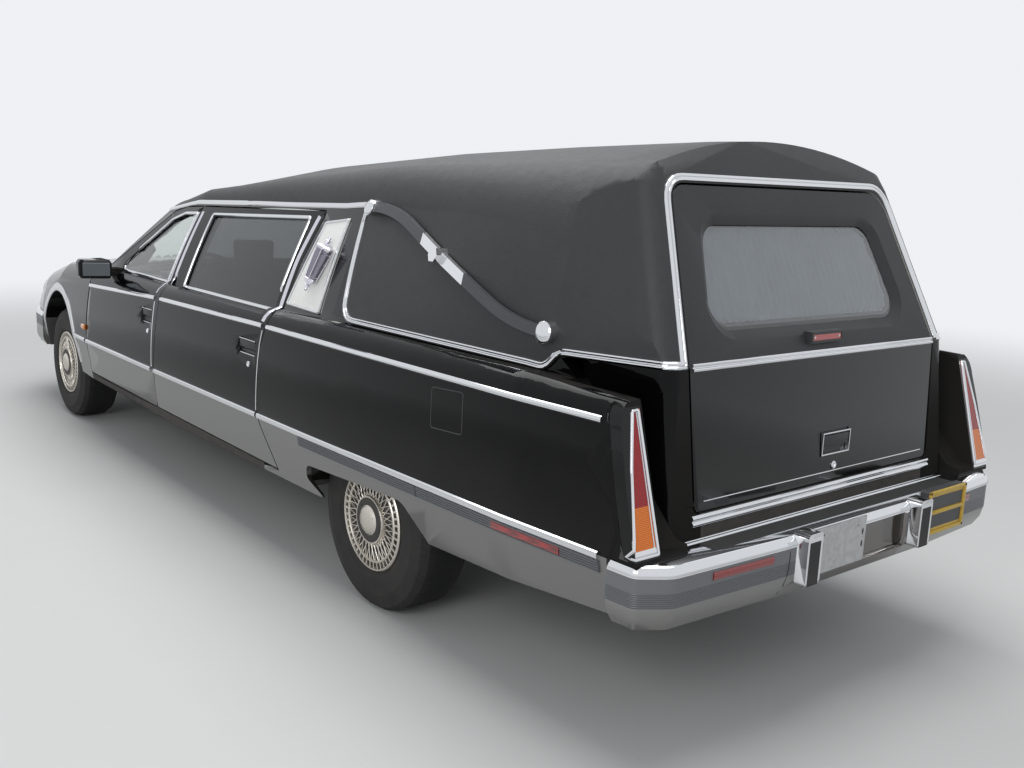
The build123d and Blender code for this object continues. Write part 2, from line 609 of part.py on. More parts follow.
# Coach panels, lamps and landau bars on the quarters.
COACH_PANEL = [(430, 1080, 6), (704, 1088, 6), (608, 1436, 6), (430, 1458, 6)]
PANEL_STAND = 5
outside = upper_loft(0)
pieces["coach_panels"] = whole((upper_loft(-PANEL_STAND) - outside) & along_y(COACH_PANEL, 600, 1000))
LANTERN = [(-40, -40), (40, -40), (40, 40), (-40, 40)]
LANTERN_ROWS = [(-112, 36), (-90, 34), (-84, 20), (-74, 10), (-70, 10), (-68, 14), (76, 4), (78, 0),
                (86, 0), (98, 22), (104, 34), (116, 36)]
LAMP_LOW, LAMP_HIGH = Vector(540, 890, 1165), Vector(540, 808, 1385)
lamp_frame = Plane(origin=(LAMP_LOW + LAMP_HIGH) * 0.5, x_dir=(1, 0, 0), z_dir=LAMP_HIGH - LAMP_LOW)
lantern = lamp_frame * stacked(LANTERN, LANTERN_ROWS)
arm = block(524, 556, 770, 840, 1260, 1290) - upper_loft(-PANEL_STAND)
pieces["coach_lamps"] = whole(lantern + arm)

BAR_WIDTH = 36
BAR_LINE = [(270, 1511, 0), (92, 1511, 780), (-724, 1184, 780), (-880, 1184, 0)]
BAR_OUTSIDE, BAR_INSIDE = -22, -8
BUTTONS = [(270, 1508, 30), (-866, 1184, 34)]
KNOB_X, KNOB_Z, KNOB_RADIUS, KNOB_STAND = -265, 1370, 26, 44
bar = (upper_loft(BAR_OUTSIDE) - upper_loft(BAR_INSIDE)) & along_y(banded(BAR_LINE, BAR_WIDTH), 600, 1000)
for x, z, radius in BUTTONS:
    bar = bar + (rod((x, 600, z), (x, 1000, z), radius) & (upper_loft(-28) - outside))
hexagon = [(KNOB_X + KNOB_RADIUS * cos(radians(60 * i)), KNOB_Z + KNOB_RADIUS * sin(radians(60 * i)))
           for i in range(6)]
bar = bar + (along_y(hexagon, 600, 1000) & (upper_loft(-KNOB_STAND) - outside))
pieces["landau_bars"] = whole(bar)

# Brake lamp above the rear door's handle.
brake_lamp = along_y([(-1312, 1166), (-1312, 1204), (-1240, 1204), (-1240, 1166)], -87, 87)
pieces["brake_lamp"] = brake_lamp - rear_limit()

# Plate holders on the rear bumper: a bare bracket left of the middle, a framed one on the right.
PLATE_HOLE_Y = (52, 230)
bracket = block(-1524, -1518, 6, 276, 505, 650) + block(-1519, -1484, 60, 90, 540, 600)
bracket = bracket + block(-1519, -1484, 190, 220, 540, 600)
for y in PLATE_HOLE_Y:
    bracket = bracket - rod((-1540, y, 625), (-1500, y, 625), 3.5)
FRAME_OUTLINE = [(-590, 515, 10), (-350, 515, 10), (-350, 668, 10), (-590, 668, 10)]
pieces["plate_holders"] = (bracket + along_x(FRAME_OUTLINE, -1532, -1500)) - bumper

# Door mirrors.
MIRROR_PLAN = [(2590, 960, 24), (2640, 1128, 34), (2740, 1122, 46), (2790, 960, 24)]
mirror_body = stacked(MIRROR_PLAN, [(1010, 12), (1028, 0), (1094, 0), (1112, 12)])
mirror_foot = block(2660, 2760, 880, 965, 1020, 1060)
pieces["mirror_left"] = (mirror_body + mirror_foot) - front_door - pieces["front_door_glass_left"]

# Inside.
SEAT = [(2080, 520, 20), (2560, 520, 40), (2580, 690, 60), (2180, 660, 50), (2030, 1130, 30),
        (1930, 1120, 30), (2020, 640, 20)]
MIDDLE_SEAT = [(2100, 540), (2540, 540), (2540, 660), (2140, 640), (2020, 1000), (1960, 1000),
               (2050, 640)]
seat = along_y(SEAT, 150, 680) + along_y(SEAT, -680, -150) + along_y(MIDDLE_SEAT, -151, 151)
seat = seat + block(2120, 2500, -560, 560, FLOOR_TOP, 521)
for side in (1, -1):
    seat = seat + block(1945, 2015, *sorted((side * 300, side * 530)), 1100, 1270)
pieces["front_seat"] = seat
DASH = [(FIREWALL_X, 700), (FIREWALL_X, 980), (2900, 990, 60), (2790, 950, 40), (2800, 820, 40),
        (2900, 700, 30)]
pieces["dashboard"] = along_y(DASH, -790, 790)
STEERING_CENTRE = (2640, 380, 960)
COLUMN_ANGLE = 0.42
RIM_RADIUS, GRIP_RADIUS = 185, 13
rim = face_round([(RIM_RADIUS + GRIP_RADIUS * cos(radians(45 * i)), GRIP_RADIUS * sin(radians(45 * i)))
                  for i in range(8)], lambda r, h: (r, 0, h))
steering = revolve(rim, Axis.Z, 360) + Cylinder(48, 40) + Box(2 * RIM_RADIUS - 10, 34, 16)
steering = Plane(origin=STEERING_CENTRE, x_dir=(0, 1, 0),
                 z_dir=(-cos(COLUMN_ANGLE), 0, sin(COLUMN_ANGLE))) * steering
steering = steering + rod(STEERING_CENTRE, (2830, 380, 875), 30)
pieces["steering_wheel"] = steering - pieces["dashboard"]
DECK_FACE = DECK_TOP + 26
deck = block(-1285, 1700, -612, 612, DECK_TOP + 4, DECK_FACE)
deck = deck + block(770, 1690, -590, 590, FLOOR_TOP, DECK_TOP + 5)
for x in (-1180, -640, -100, 440, 980, 1520):
    deck = deck + rod((x, -200, DECK_FACE + 2), (x, 200, DECK_FACE + 2), 20)
for y in (-460, -300, 300, 460):
    deck = deck + block(-1275, 1690, y - 14, y + 14, DECK_FACE - 1, DECK_FACE + 5)
pieces["casket_deck"] = deck

# Running gear and frame.
RAIL = [(-1455, 452), (-1455, 540), (-520, 562), (470, 562), (700, 392), (4180, 392),
        (4330, 480), (4800, 480), (4800, 412), (4350, 402), (4200, 262), (640, 262), (420, 470),
        (-500, 470)]
frame = along_y(RAIL, 372, 442) + along_y(RAIL, -442, -372)
for x, z in ((-1270, 490), (500, 480), (4500, 440)):
    frame = frame + block(x - 35, x + 35, -380, 380, z - 25, z + 25)
frame = frame + block(3640, 3860, -440, 440, 264, 330)
for side in (1, -1):
    eye = (WHEELBASE, side * KINGPIN_Y, 264)
    frame = frame + rod((3690, side * 400, 300), eye, 20)
    frame = frame + rod((3850, side * 400, 300), eye, 18)
    frame = frame + rod((eye[0], eye[1], 250), (eye[0], eye[1], 276), 28)
    frame = frame - rod((eye[0], eye[1], 200), (eye[0], eye[1], 300), KINGPIN_RADIUS + RUNNING_GAP)
    frame = frame - block(3690, 3810, *sorted((side * 640, side * 760)), 276.5, 360)
floor_low = pieces["floor_and_cowl"] & block(600, 3300, -500, 500, 300, 410)
frame = frame - floor_low - front_bumper - bumper
pieces["chassis_frame"] = frame
engine = block(3290, 4060, -270, 270, 330, 800) + block(2900, 3291, -110, 110, 275, 360)
pieces["engine"] = engine
tank = along_y([(-1225, 340, 30), (-1225, UNDERBODY_TOP), (-560, UNDERBODY_TOP), (-560, 340, 30)],
               -330, 330)
pieces["fuel_tank"] = tank - frame
PIPE_RADIUS, SILENCER_RADIUS = 26, 82
PIPE_LINE = [(3289, -230, 345), (3050, -300, 232), (800, -300, 232), (-1440, -520, 300)]
exhaust = rod((1500, -300, 232), (800, -300, 232), SILENCER_RADIUS)
for start, end in zip(PIPE_LINE, PIPE_LINE[1:]):
    exhaust = exhaust + rod(start, end, PIPE_RADIUS)
for x in (900, 2400):
    exhaust = exhaust + rod((x, -300, 232), (x, -300, 400), 8)
pieces["exhaust"] = exhaust - floor_low - frame - engine
axle = rod((0, -606, HUB_HEIGHT), (0, 606, HUB_HEIGHT), 40)
axle = axle + Pos(0, 0, HUB_HEIGHT) * Sphere(128)
for side in (1, -1):
    axle = axle + rod((0, side * 600, HUB_HEIGHT), (0, side * 640, HUB_HEIGHT), 62)
    axle = axle + rod((0, side * 600, HUB_HEIGHT), (0, side * 838, HUB_HEIGHT), STUB_RADIUS)
    axle = axle + rod((0, side * 407, HUB_HEIGHT), (0, side * 407, 470), 30)
axle = axle + rod((0, 0, HUB_HEIGHT), (2900, 0, 318), 34)
pieces["rear_axle"] = axle - engine
knuckle = block(WHEELBASE - 30, WHEELBASE + 30, 664, 724, 282, 500)
knuckle = knuckle + rod(
    (WHEELBASE, KINGPIN_Y, 248), (WHEELBASE, KINGPIN_Y, 300), KINGPIN_RADIUS)
knuckle = knuckle + rod((WHEELBASE, 660, HUB_HEIGHT), (WHEELBASE, 850, HUB_HEIGHT), STUB_RADIUS)
knuckle = knuckle + rod((WHEELBASE, 654, HUB_HEIGHT), (WHEELBASE, 734, HUB_HEIGHT), 55)
pieces["knuckle_left"] = knuckle

TYRE_SIDE = [(BEAD_RADIUS, 99), (224, 113), (286, 117.5), (334, 104), (TYRE_RADIUS, 78)]
TYRE = TYRE_SIDE + [(r, -d) for r, d in TYRE_SIDE[::-1]]
WHEEL = [(0, 120), (COVER_CENTRE_RADIUS - 8, 120, 5), (COVER_CENTRE_RADIUS, 104), (188, 100, 6),
         (BEAD_RADIUS, 99), (BEAD_RADIUS, -99), (182, -99), (178, 30), (70, 30), (70, -25),
         (HUB_BORE_RADIUS, -25), (HUB_BORE_RADIUS, 84), (0, 84)]
for end, x, y in (("front", WHEELBASE, FRONT_HALF_TRACK), ("rear", 0, REAR_HALF_TRACK)):
    pieces[f"tyre_{end}_left"] = turned(TYRE, (x, y, HUB_HEIGHT))
    pieces[f"wheel_{end}_left"] = turned(WHEEL, (x, y, HUB_HEIGHT))

# The right-hand pieces mirror the left-hand ones.
for name in [n for n in pieces if n.endswith("_left")]:
    pieces[name.replace("_left", "_right")] = mirrored(pieces[name])

os.makedirs("parts", exist_ok=True)
for name, shape in pieces.items():
    export_step(Pos(-MIDDLE_X, 0, 0) * shape, f"parts/{name}.step")
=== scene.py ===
"""Finishes, trim and upholstery of the long landau hearse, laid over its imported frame."""
import json
from math import cos, pi, radians, sin, tan

import bmesh
import bpy
from mathutils import Matrix, Vector
from mathutils.bvhtree import BVHTree

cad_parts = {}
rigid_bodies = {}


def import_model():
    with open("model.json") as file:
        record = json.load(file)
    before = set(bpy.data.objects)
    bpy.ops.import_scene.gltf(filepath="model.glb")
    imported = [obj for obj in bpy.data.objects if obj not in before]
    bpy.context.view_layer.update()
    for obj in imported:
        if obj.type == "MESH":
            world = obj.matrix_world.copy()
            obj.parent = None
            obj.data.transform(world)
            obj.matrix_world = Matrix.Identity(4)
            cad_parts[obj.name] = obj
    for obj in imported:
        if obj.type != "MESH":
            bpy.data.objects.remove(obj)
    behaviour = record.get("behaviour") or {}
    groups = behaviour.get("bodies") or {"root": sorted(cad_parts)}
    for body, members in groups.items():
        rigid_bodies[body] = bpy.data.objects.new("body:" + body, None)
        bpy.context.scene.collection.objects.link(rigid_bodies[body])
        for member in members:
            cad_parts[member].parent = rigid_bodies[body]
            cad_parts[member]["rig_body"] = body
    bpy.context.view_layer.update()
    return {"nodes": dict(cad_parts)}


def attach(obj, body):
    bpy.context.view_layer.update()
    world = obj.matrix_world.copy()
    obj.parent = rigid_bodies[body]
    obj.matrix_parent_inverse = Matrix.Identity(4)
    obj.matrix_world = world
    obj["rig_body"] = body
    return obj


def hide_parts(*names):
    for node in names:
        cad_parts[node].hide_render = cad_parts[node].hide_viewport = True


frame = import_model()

nodes = frame["nodes"]

# Lengths are metres. Places along the car are given from the rear axle and moved back by MIDDLE.
MIDDLE = 1.660
WHEELBASE = 3.750
HUB_HEIGHT = 0.352
FRONT_HALF_TRACK = 0.784
REAR_HALF_TRACK = 0.771
SECTION_HEIGHT = 1.05


def at(x, y, z):
    """A place measured from the rear axle, in the frame's own coordinates."""
    return Vector((x - MIDDLE, y, z))


# Shader maths.


class Flow:
    """One socket's value, so that a finish can be written as sums."""

    def __init__(self, finish, socket):
        self.finish = finish
        self.socket = socket

    def maths(self, operation, *values):
        return self.finish.add("ShaderNodeMath", {"operation": operation},
                               dict(enumerate((self, *values))))

    def __add__(self, other):
        return self.maths("ADD", other)

    def __sub__(self, other):
        return self.maths("SUBTRACT", other)

    def __rsub__(self, other):
        return self.finish.add("ShaderNodeMath", {"operation": "SUBTRACT"}, {0: other, 1: self})

    def __mul__(self, other):
        return self.maths("MULTIPLY", other)

    def __gt__(self, other):
        return self.maths("GREATER_THAN", other)

    def __lt__(self, other):
        return self.maths("LESS_THAN", other)

    def __abs__(self):
        return self.maths("ABSOLUTE")

    def capped(self):
        """A sum of masks, kept at 1 at most."""
        return self.maths("MINIMUM", 1.0)


class Finish:
    """A material whose colour, roughness and relief come from nodes."""

    def __init__(self, name, fixed=None):
        self.material = bpy.data.materials.new(name)
        self.material.use_nodes = True
        self.tree = self.material.node_tree
        self.shader = self.tree.nodes["Principled BSDF"]
        self.place = self.add("ShaderNodeTexCoord", output="Object")
        self.x = self.add("ShaderNodeSeparateXYZ", values={0: self.place}, output=0)
        self.y = self.add("ShaderNodeSeparateXYZ", values={0: self.place}, output=1)
        self.z = self.add("ShaderNodeSeparateXYZ", values={0: self.place}, output=2)
        for name, value in (fixed or {}).items():
            self.shader.inputs[name].default_value = value

    def add(self, kind, settings=None, values=None, output=0):
        node = self.tree.nodes.new(kind)
        for name, value in (settings or {}).items():
            setattr(node, name, value)
        for key, value in (values or {}).items():
            self.feed(node.inputs[key], value)
        return Flow(self, node.outputs[output])

    def feed(self, socket, value):
        if isinstance(value, Flow):
            self.tree.links.new(value.socket, socket)
        elif hasattr(value, "__len__") and len(value) == 3 and socket.type == "RGBA":
            socket.default_value = (*value, 1)
        else:
            socket.default_value = value

    def show(self, **values):
        """Feeds the shader: base_color, roughness, metallic, coat_weight, alpha or normal."""
        for name, value in values.items():
            self.feed(self.shader.inputs[name.replace("_", " ").title()], value)
        return self

    def mix(self, mask, first, second):
        """The first colour where mask is 0 and the second where it is 1."""
        return self.add("ShaderNodeMix", {"data_type": "RGBA"}, {0: mask, 6: first, 7: second}, 2)

    def blend(self, mask, first, second):
        return self.add("ShaderNodeMix", {"data_type": "FLOAT"}, {0: mask, 2: first, 3: second})

    def fade(self, value, start, end):
        """0 below start, 1 past end, and a smooth step between."""
        return self.add("ShaderNodeMapRange", {"interpolation_type": "SMOOTHSTEP"},
                        {0: value, 1: start, 2: end, 3: 0.0, 4: 1.0})

    def noise(self, scale, detail=3.0, stretch=(1, 1, 1)):
        place = self.add("ShaderNodeVectorMath", {"operation": "MULTIPLY"},
                         {0: self.place, 1: stretch})
        return self.add("ShaderNodeTexNoise", None,
                        {"Vector": place, "Scale": scale, "Detail": detail})

    def cells(self, scale):
        return self.add("ShaderNodeTexVoronoi", None, {"Vector": self.place, "Scale": scale}, "Distance")

    def waves(self, along, pitch):
        """Even ridges from 0 to 1 along one measure."""
        return (along * (2 * pi / pitch)).maths("SINE") * 0.5 + 0.5

    def relief(self, height, distance, strength=1.0):
        normal = self.add("ShaderNodeBump", None,
                          {"Height": height, "Distance": distance, "Strength": strength})
        return self.show(normal=normal)


def inward(finish):
    """1 on faces that look towards the middle of the car's section, 0 on those that look away."""
    normal = finish.add("ShaderNodeTexCoord", output="Normal")
    from_axis = finish.add("ShaderNodeCombineXYZ", None, {1: finish.y, 2: finish.z - SECTION_HEIGHT})
    outward = finish.add("ShaderNodeVectorMath", {"operation": "DOT_PRODUCT"},
                         {0: normal, 1: from_axis}, "Value")
    return finish.fade(outward, 0.02, -0.02)


def facing(finish, axis):
    """How far a face looks forward (0), to the left (1) or up (2)."""
    normal = finish.add("ShaderNodeTexCoord", output="Normal")
    return finish.add("ShaderNodeSeparateXYZ", values={0: normal}, output=axis)


BLACK = (0.0014, 0.0015, 0.0019)
BRIGHT = (0.80, 0.81, 0.83)
UNDERSEAL = (0.018, 0.017, 0.016)
GUNMETAL = ((0.165, 0.165, 0.162), (0.225, 0.225, 0.220))
GLOSS = {"Coat Roughness": 0.02, "Coat IOR": 1.3, "Specular IOR Level": 0.02}
SILL_HEIGHT, SILL_SLOPE = 0.6253, 0.0075


def flaked(finish, dark, light):
    """Fine metallic flakes between two tones."""
    return finish.mix(finish.noise(2600.0, 1.0) * 0.3 + 0.85, dark, light)


def below_sill(finish):
    """1 under the sill strip, which falls a little towards the front."""
    return finish.z + (finish.x + MIDDLE) * SILL_SLOPE - SILL_HEIGHT < 0.0


def two_tone(finish, colour, low, inner, inner_rough, film=0.0):
    """Gloss over the sill, metallic under it, and neither on the inner faces."""
    finish.show(base_color=colour, metallic=low * (1 - inner) * 0.75,
                roughness=finish.blend(inner, finish.blend(low, 0.16, 0.36), inner_rough) + film,
                coat_weight=(1 - inner) * finish.blend(low, 0.65, 0.4))


def paint_finish():
    """Gloss black above the sill strip, gunmetal below it, and black underseal inside."""
    finish = Finish("panel_paint", GLOSS)
    low = below_sill(finish)
    inner = inward(finish)
    colour = finish.mix(low, BLACK, flaked(finish, *GUNMETAL))
    film = finish.noise(3.0, 5.0) * finish.fade(finish.z, 1.2, 0.3) * 0.05
    colour = finish.mix(film, colour, (0.3, 0.28, 0.25))
    colour = finish.mix(inner, colour, UNDERSEAL)
    two_tone(finish, colour, low, inner, 0.7, film)
    return finish.relief(finish.noise(420.0, 1.0) * 0.2 + finish.noise(14.0, 2.0), 0.00025, 0.25)


def door_finish():
    """Panel paint outside, and grained grey trim on the faces towards the cabin."""
    finish = Finish("door_paint", GLOSS)
    low = below_sill(finish)
    inner = ((abs(finish.y) < 0.867) * (finish.z < 1.0) + inward(finish)).capped()
    grain = finish.cells(320.0)
    trim = finish.mix(grain, (0.10, 0.10, 0.105), (0.06, 0.06, 0.065))
    colour = finish.mix(inner, finish.mix(low, BLACK, flaked(finish, *GUNMETAL)), trim)
    two_tone(finish, colour, low, inner, 0.62)
    height = finish.blend(inner, finish.noise(14.0, 2.0) * 0.12, grain)
    return finish.relief(height, 0.0006, 0.35)


def vinyl_grain(finish):
    """Height of a leather-grained vinyl: small cells with soft creases between."""
    return finish.cells(230.0) * 0.8 + finish.noise(900.0, 3.0) * 0.35


VINYL_DARK = (0.020, 0.021, 0.022)
VINYL_LIGHT = (0.042, 0.044, 0.046)


def vinyl_colour(finish):
    worn = finish.noise(2.2, 6.0) * 0.7 + finish.noise(40.0, 3.0) * 0.3
    return finish.mix(worn, VINYL_DARK, VINYL_LIGHT)


def roof_finish():
    """Grained vinyl over the roof and quarters, paint on the pillars, pale cloth inside."""
    finish = Finish("roof_covering", {**GLOSS, "Specular IOR Level": 0.30})
    inner = inward(finish)
    along = finish.x + MIDDLE
    rail = finish.z - (1.5345 - along * 0.0385 - (along - 1.9).maths("MAXIMUM", 0.0) * 0.075)
    painted = (rail < 0.0) * (along > 0.33)
    below = (finish.z < 1.09) * (along > 0.2) + (finish.z < 1.064)
    painted = (painted + below).capped()
    colour = finish.mix(painted, vinyl_colour(finish), BLACK)
    lining = finish.mix(finish.noise(300.0, 2.0), (0.30, 0.29, 0.27), (0.42, 0.41, 0.38))
    colour = finish.mix(inner, colour, lining)
    rough = finish.blend(painted, finish.noise(30.0, 4.0) * 0.16 + 0.40, 0.16)
    finish.show(base_color=colour, roughness=finish.blend(inner, rough, 0.92),
                coat_weight=painted * (1 - inner) * 0.65)
    return finish.relief(vinyl_grain(finish) * (1 - painted), 0.0011, 0.5)


def rear_door_finish():
    """Vinyl above the belt, gloss black below it, and trim inside."""
    finish = Finish("rear_door_covering", {**GLOSS, "Specular IOR Level": 0.25})
    painted = finish.z < 1.133
    lining = finish.mix(finish.noise(300.0, 2.0), (0.16, 0.155, 0.15), (0.24, 0.235, 0.225))
    colour = finish.mix(painted, vinyl_colour(finish), BLACK)
    inner = facing(finish, 0) > 0.6
    finish.show(base_color=finish.mix(inner, colour, lining),
                roughness=finish.blend(inner, finish.blend(painted, 0.44, 0.15), 0.9),
                coat_weight=painted * (1 - inner) * 0.65)
    return finish.relief(vinyl_grain(finish) * (1 - painted), 0.0011, 0.5)


def chrome_finish(name, colour, rough):
    """Polished metal with smears and a few dull pits."""
    finish = Finish(name)
    smear = finish.noise(18.0, 5.0)
    pits = finish.fade(finish.cells(900.0), 0.10, 0.04) * finish.fade(finish.noise(6.0), 0.5, 0.7)
    finish.show(base_color=finish.mix(pits * 0.5, colour, (0.25, 0.2, 0.15)),
                roughness=smear * 0.10 + (rough - 0.03) + pits * 0.3, metallic=1.0)
    return finish.relief(finish.noise(70.0, 2.0), 0.0002, 0.15)


def grille_finish():
    """Bright bars and surround, with the recess behind them painted near-black as shade."""
    finish = Finish("grille_metal")
    # Everything deeper than the bars' fronts is painted near-black, dull and non-metallic as shade between
    # the bars.
    painted_recess_shade = finish.x + MIDDLE < 4.752
    smear = finish.noise(18.0, 5.0)
    finish.show(base_color=finish.mix(painted_recess_shade, (0.74, 0.75, 0.77), (0.016, 0.016, 0.017)),
                roughness=finish.blend(painted_recess_shade, smear * 0.10 + 0.04, 0.6), metallic=1 - painted_recess_shade)
    return finish.relief(finish.noise(70.0, 2.0), 0.0002, 0.15)


def glass_finish(name, tint, ior=1.45):
    """Clear or tinted glass, with a faint film of dust."""
    finish = Finish(name, {"Transmission Weight": 1.0, "IOR": ior})
    film = finish.noise(5.0, 6.0)
    dusty = tuple(part * 0.9 for part in tint)
    return finish.show(base_color=finish.mix(film, tint, dusty), roughness=film * 0.02)


def lens_finish(name, colour, dark, pitch, axis):
    """Moulded lamp plastic with fine ribs under a clear skin."""
    finish = Finish(name, {"Coat Roughness": 0.03, "Coat Weight": 1.0, "IOR": 1.49})
    ribs = finish.waves(getattr(finish, axis), pitch)
    finish.show(base_color=finish.mix(ribs, dark, colour), roughness=finish.noise(9.0) * 0.1 + 0.12)
    return finish.relief(ribs, 0.0006, 0.4)


def tail_lamp_finish():
    """Red above amber above a clear foot, behind fine level ribs."""
    finish = Finish("tail_lamp_lens",
                    {"Coat Roughness": 0.03, "Coat IOR": 1.35, "Specular IOR Level": 0.15})
    ribs = finish.waves(finish.z, 0.0046)
    cross = finish.waves(finish.y, 0.007)
    red = finish.mix(ribs, (0.16, 0.002, 0.004), (0.42, 0.006, 0.010))
    amber = finish.mix(ribs, (0.50, 0.09, 0.002), (0.82, 0.22, 0.010))
    colour = finish.mix(finish.z < 0.79, red, amber)
    colour = finish.mix(finish.z < 0.672, colour, (0.6, 0.6, 0.62))
    edge = 0.942 - (finish.z - 0.660) * 0.135 - (finish.z - 0.889).maths("MAXIMUM", 0.0) * 0.07
    across = abs(finish.y)
    body = ((across > edge) + (across < 0.8535) + (finish.z > 1.0415) + (finish.z < 0.6565)).capped()
    finish.show(base_color=finish.mix(body, colour, BLACK), coat_weight=1 - body * 0.4,
                roughness=finish.noise(9.0) * 0.08 + 0.1)
    return finish.relief((ribs * 0.6 + cross * 0.4) * (1 - body), 0.0008, 0.4)


def brake_lamp_finish():
    """Ribbed red lens in the middle of a dark housing."""
    finish = Finish("brake_lamp_lens", {"Coat Roughness": 0.03, "IOR": 1.49})
    lens = (abs(finish.y) < 0.077) * (abs(finish.z - 1.185) < 0.0125)
    ribs = finish.waves(finish.y, 0.005)
    red = finish.mix(ribs, (0.22, 0.004, 0.005), (0.55, 0.012, 0.014))
    housing = finish.mix(finish.noise(300.0), (0.020, 0.020, 0.022), (0.040, 0.040, 0.043))
    finish.show(base_color=finish.mix(lens, housing, red), coat_weight=lens,
                roughness=finish.blend(lens, 0.5, 0.14))
    return finish.relief(ribs * lens, 0.0006, 0.4)


def rubber_finish(name, centre, half_track):
    """Tyre rubber: tread blocks round the crown, fine rings on the wall."""
    finish = Finish(name, {"Specular IOR Level": 0.35})
    across = finish.x + MIDDLE - centre
    up = finish.z - HUB_HEIGHT
    turn = up.maths("ARCTAN2", across)
    reach = (across * across + up * up).maths("SQRT")
    side = abs(abs(finish.y) - half_track)
    crown = finish.fade(reach, 0.328, 0.336)
    lug = finish.waves(turn + side * 1.1, 2 * pi / 78)
    rings = finish.waves(reach, 0.008) * finish.fade(reach, 0.31, 0.30)
    dust = finish.noise(14.0, 6.0) * finish.fade(side, 0.02, 0.11)
    finish.show(base_color=finish.mix(dust, (0.010, 0.010, 0.011), (0.040, 0.037, 0.034)),
                roughness=finish.noise(60.0) * 0.15 + 0.68)
    height = finish.fade(lug, 0.25, 0.4) * crown * 4 + rings * 0.25 + finish.noise(300.0) * 0.1
    return finish.relief(height, 0.0025, 0.8)


def cover_finish():
    """Bright wires and rims, with brown brake dust."""
    finish = Finish("wheel_cover_metal")
    worn = finish.noise(35.0, 5.0)
    grime = finish.fade(finish.noise(120.0, 3.0), 0.55, 0.8)
    finish.show(base_color=finish.mix(grime * 0.5, (0.66, 0.62, 0.56), (0.22, 0.18, 0.14)),
                roughness=worn * 0.15 + 0.27 + grime * 0.2, metallic=1.0 - grime * 0.3)
    return finish.relief(worn, 0.0003, 0.3)


def wheel_finish():
    """The wheel behind its wires: dark, grimy steel."""
    finish = Finish("wheel_steel")
    grime = finish.noise(50.0, 5.0)
    finish.show(base_color=finish.mix(grime, (0.03, 0.029, 0.028), (0.10, 0.095, 0.09)),
                roughness=grime * 0.2 + 0.45, metallic=0.7)
    return finish.relief(grime, 0.0006, 0.4)


def plain_finish(name, light, dark, scale, rough, relief=0.0004, metallic=0.0):
    """A moulded, cast or coated surface: two close tones in a fine grain."""
    finish = Finish(name, {"Metallic": metallic})
    grain = finish.noise(scale, 4.0)
    finish.show(base_color=finish.mix(grain, dark, light), roughness=grain * 0.14 + rough - 0.07)
    return finish.relief(grain, relief, 0.5)


def leather_finish(name, light, dark):
    finish = Finish(name, {"Sheen Weight": 0.1})
    cells = finish.cells(420.0)
    creases = finish.noise(34.0, 5.0)
    finish.show(base_color=finish.mix(creases * 0.7 + cells * 0.3, dark, light),
                roughness=cells * 0.1 + 0.45)
    return finish.relief(cells * 0.7 + creases * 0.5, 0.0009, 0.6)


def cloth_finish(name, light, dark):
    finish = Finish(name, {"Sheen Weight": 0.3, "Roughness": 0.9})
    weft = finish.waves(finish.z, 0.0016)
    warp = finish.waves(finish.y, 0.0016)
    finish.show(base_color=finish.mix(weft * warp * 0.5 + finish.noise(25.0) * 0.4, dark, light))
    return finish.relief(weft * warp, 0.0003, 0.5)


def deck_finish():
    """Veneer boards under satin lacquer, with bright metal strips and rollers standing on them."""
    finish = Finish("casket_deck_surface", {"Coat Roughness": 0.15})
    grain = finish.noise(26.0, 6.0, (0.35, 6.0, 2.0))
    boards = finish.fade(finish.waves(finish.y, 0.155), 0.02, 0.006)
    metal = finish.z > 0.7392
    wood = finish.mix(grain, (0.035, 0.014, 0.008), (0.14, 0.062, 0.03))
    colour = finish.mix(boards * 0.8, wood, (0.012, 0.006, 0.004))
    finish.show(base_color=finish.mix(metal, colour, (0.66, 0.66, 0.67)), metallic=metal,
                roughness=finish.blend(metal, grain * 0.15 + 0.3, grain * 0.1 + 0.2),
                coat_weight=(1 - metal) * 0.5)
    return finish.relief(grain * 0.3 - boards, 0.0008, 0.3)


def bumper_finish():
    """Bright lip, smooth grey band, fine level ribs, and gunmetal that tucks under."""
    finish = Finish("bumper_bands", {"Coat Roughness": 0.05})
    along = finish.x + MIDDLE
    across = abs(finish.y)
    lip = finish.z > 0.6075
    ribs = (finish.z > 0.523) * (finish.z < 0.566)
    low = finish.z < 0.523
    from_guard = abs(across - 0.310)
    guard = (along < -1.5118) * (from_guard < 0.040)
    insert = guard * (from_guard < 0.027) * (finish.z < 0.628) * (along < -1.5485)
    recess = (across < 0.2635) * (along < -1.40) * (finish.z < 0.613)
    bright = (lip + guard + recess).capped()
    grime = finish.noise(9.0, 6.0) * finish.fade(finish.z, 0.58, 0.40) * 0.35
    band = finish.mix(ribs, (0.155, 0.160, 0.172), (0.120, 0.125, 0.137))
    silver = flaked(finish, (0.185, 0.186, 0.184), (0.25, 0.25, 0.247))
    mirror = recess * (1 - guard)
    colour = finish.mix(bright, finish.mix(low, band, silver), BRIGHT)
    colour = finish.mix(mirror * (finish.z < 0.606), colour, (0.20, 0.19, 0.185))
    colour = finish.mix(insert, colour, (0.016, 0.016, 0.017))
    rough = finish.blend(bright, finish.blend(low, 0.42, 0.30), 0.08)
    finish.show(base_color=finish.mix(grime, colour, (0.20, 0.17, 0.14)),
                metallic=finish.blend(low, 0.25, 0.8).maths("MAXIMUM", bright) * (1 - insert),
                roughness=finish.blend(insert, rough, 0.7) + grime * 0.5,
                coat_weight=low * (1 - bright) * 0.4)
    return finish.relief(finish.waves(finish.z, 0.0061) * ribs * (1 - bright), 0.0016, 0.8)


# The landau bars' end buttons: x, z and radius.
BAR_BUTTONS = ((0.270, 1.508, 0.030), (-0.866, 1.184, 0.034))


def disc(across, up, radius):
    """1 within a radius of the place where both measures are 0."""
    return across * across + up * up < radius ** 2


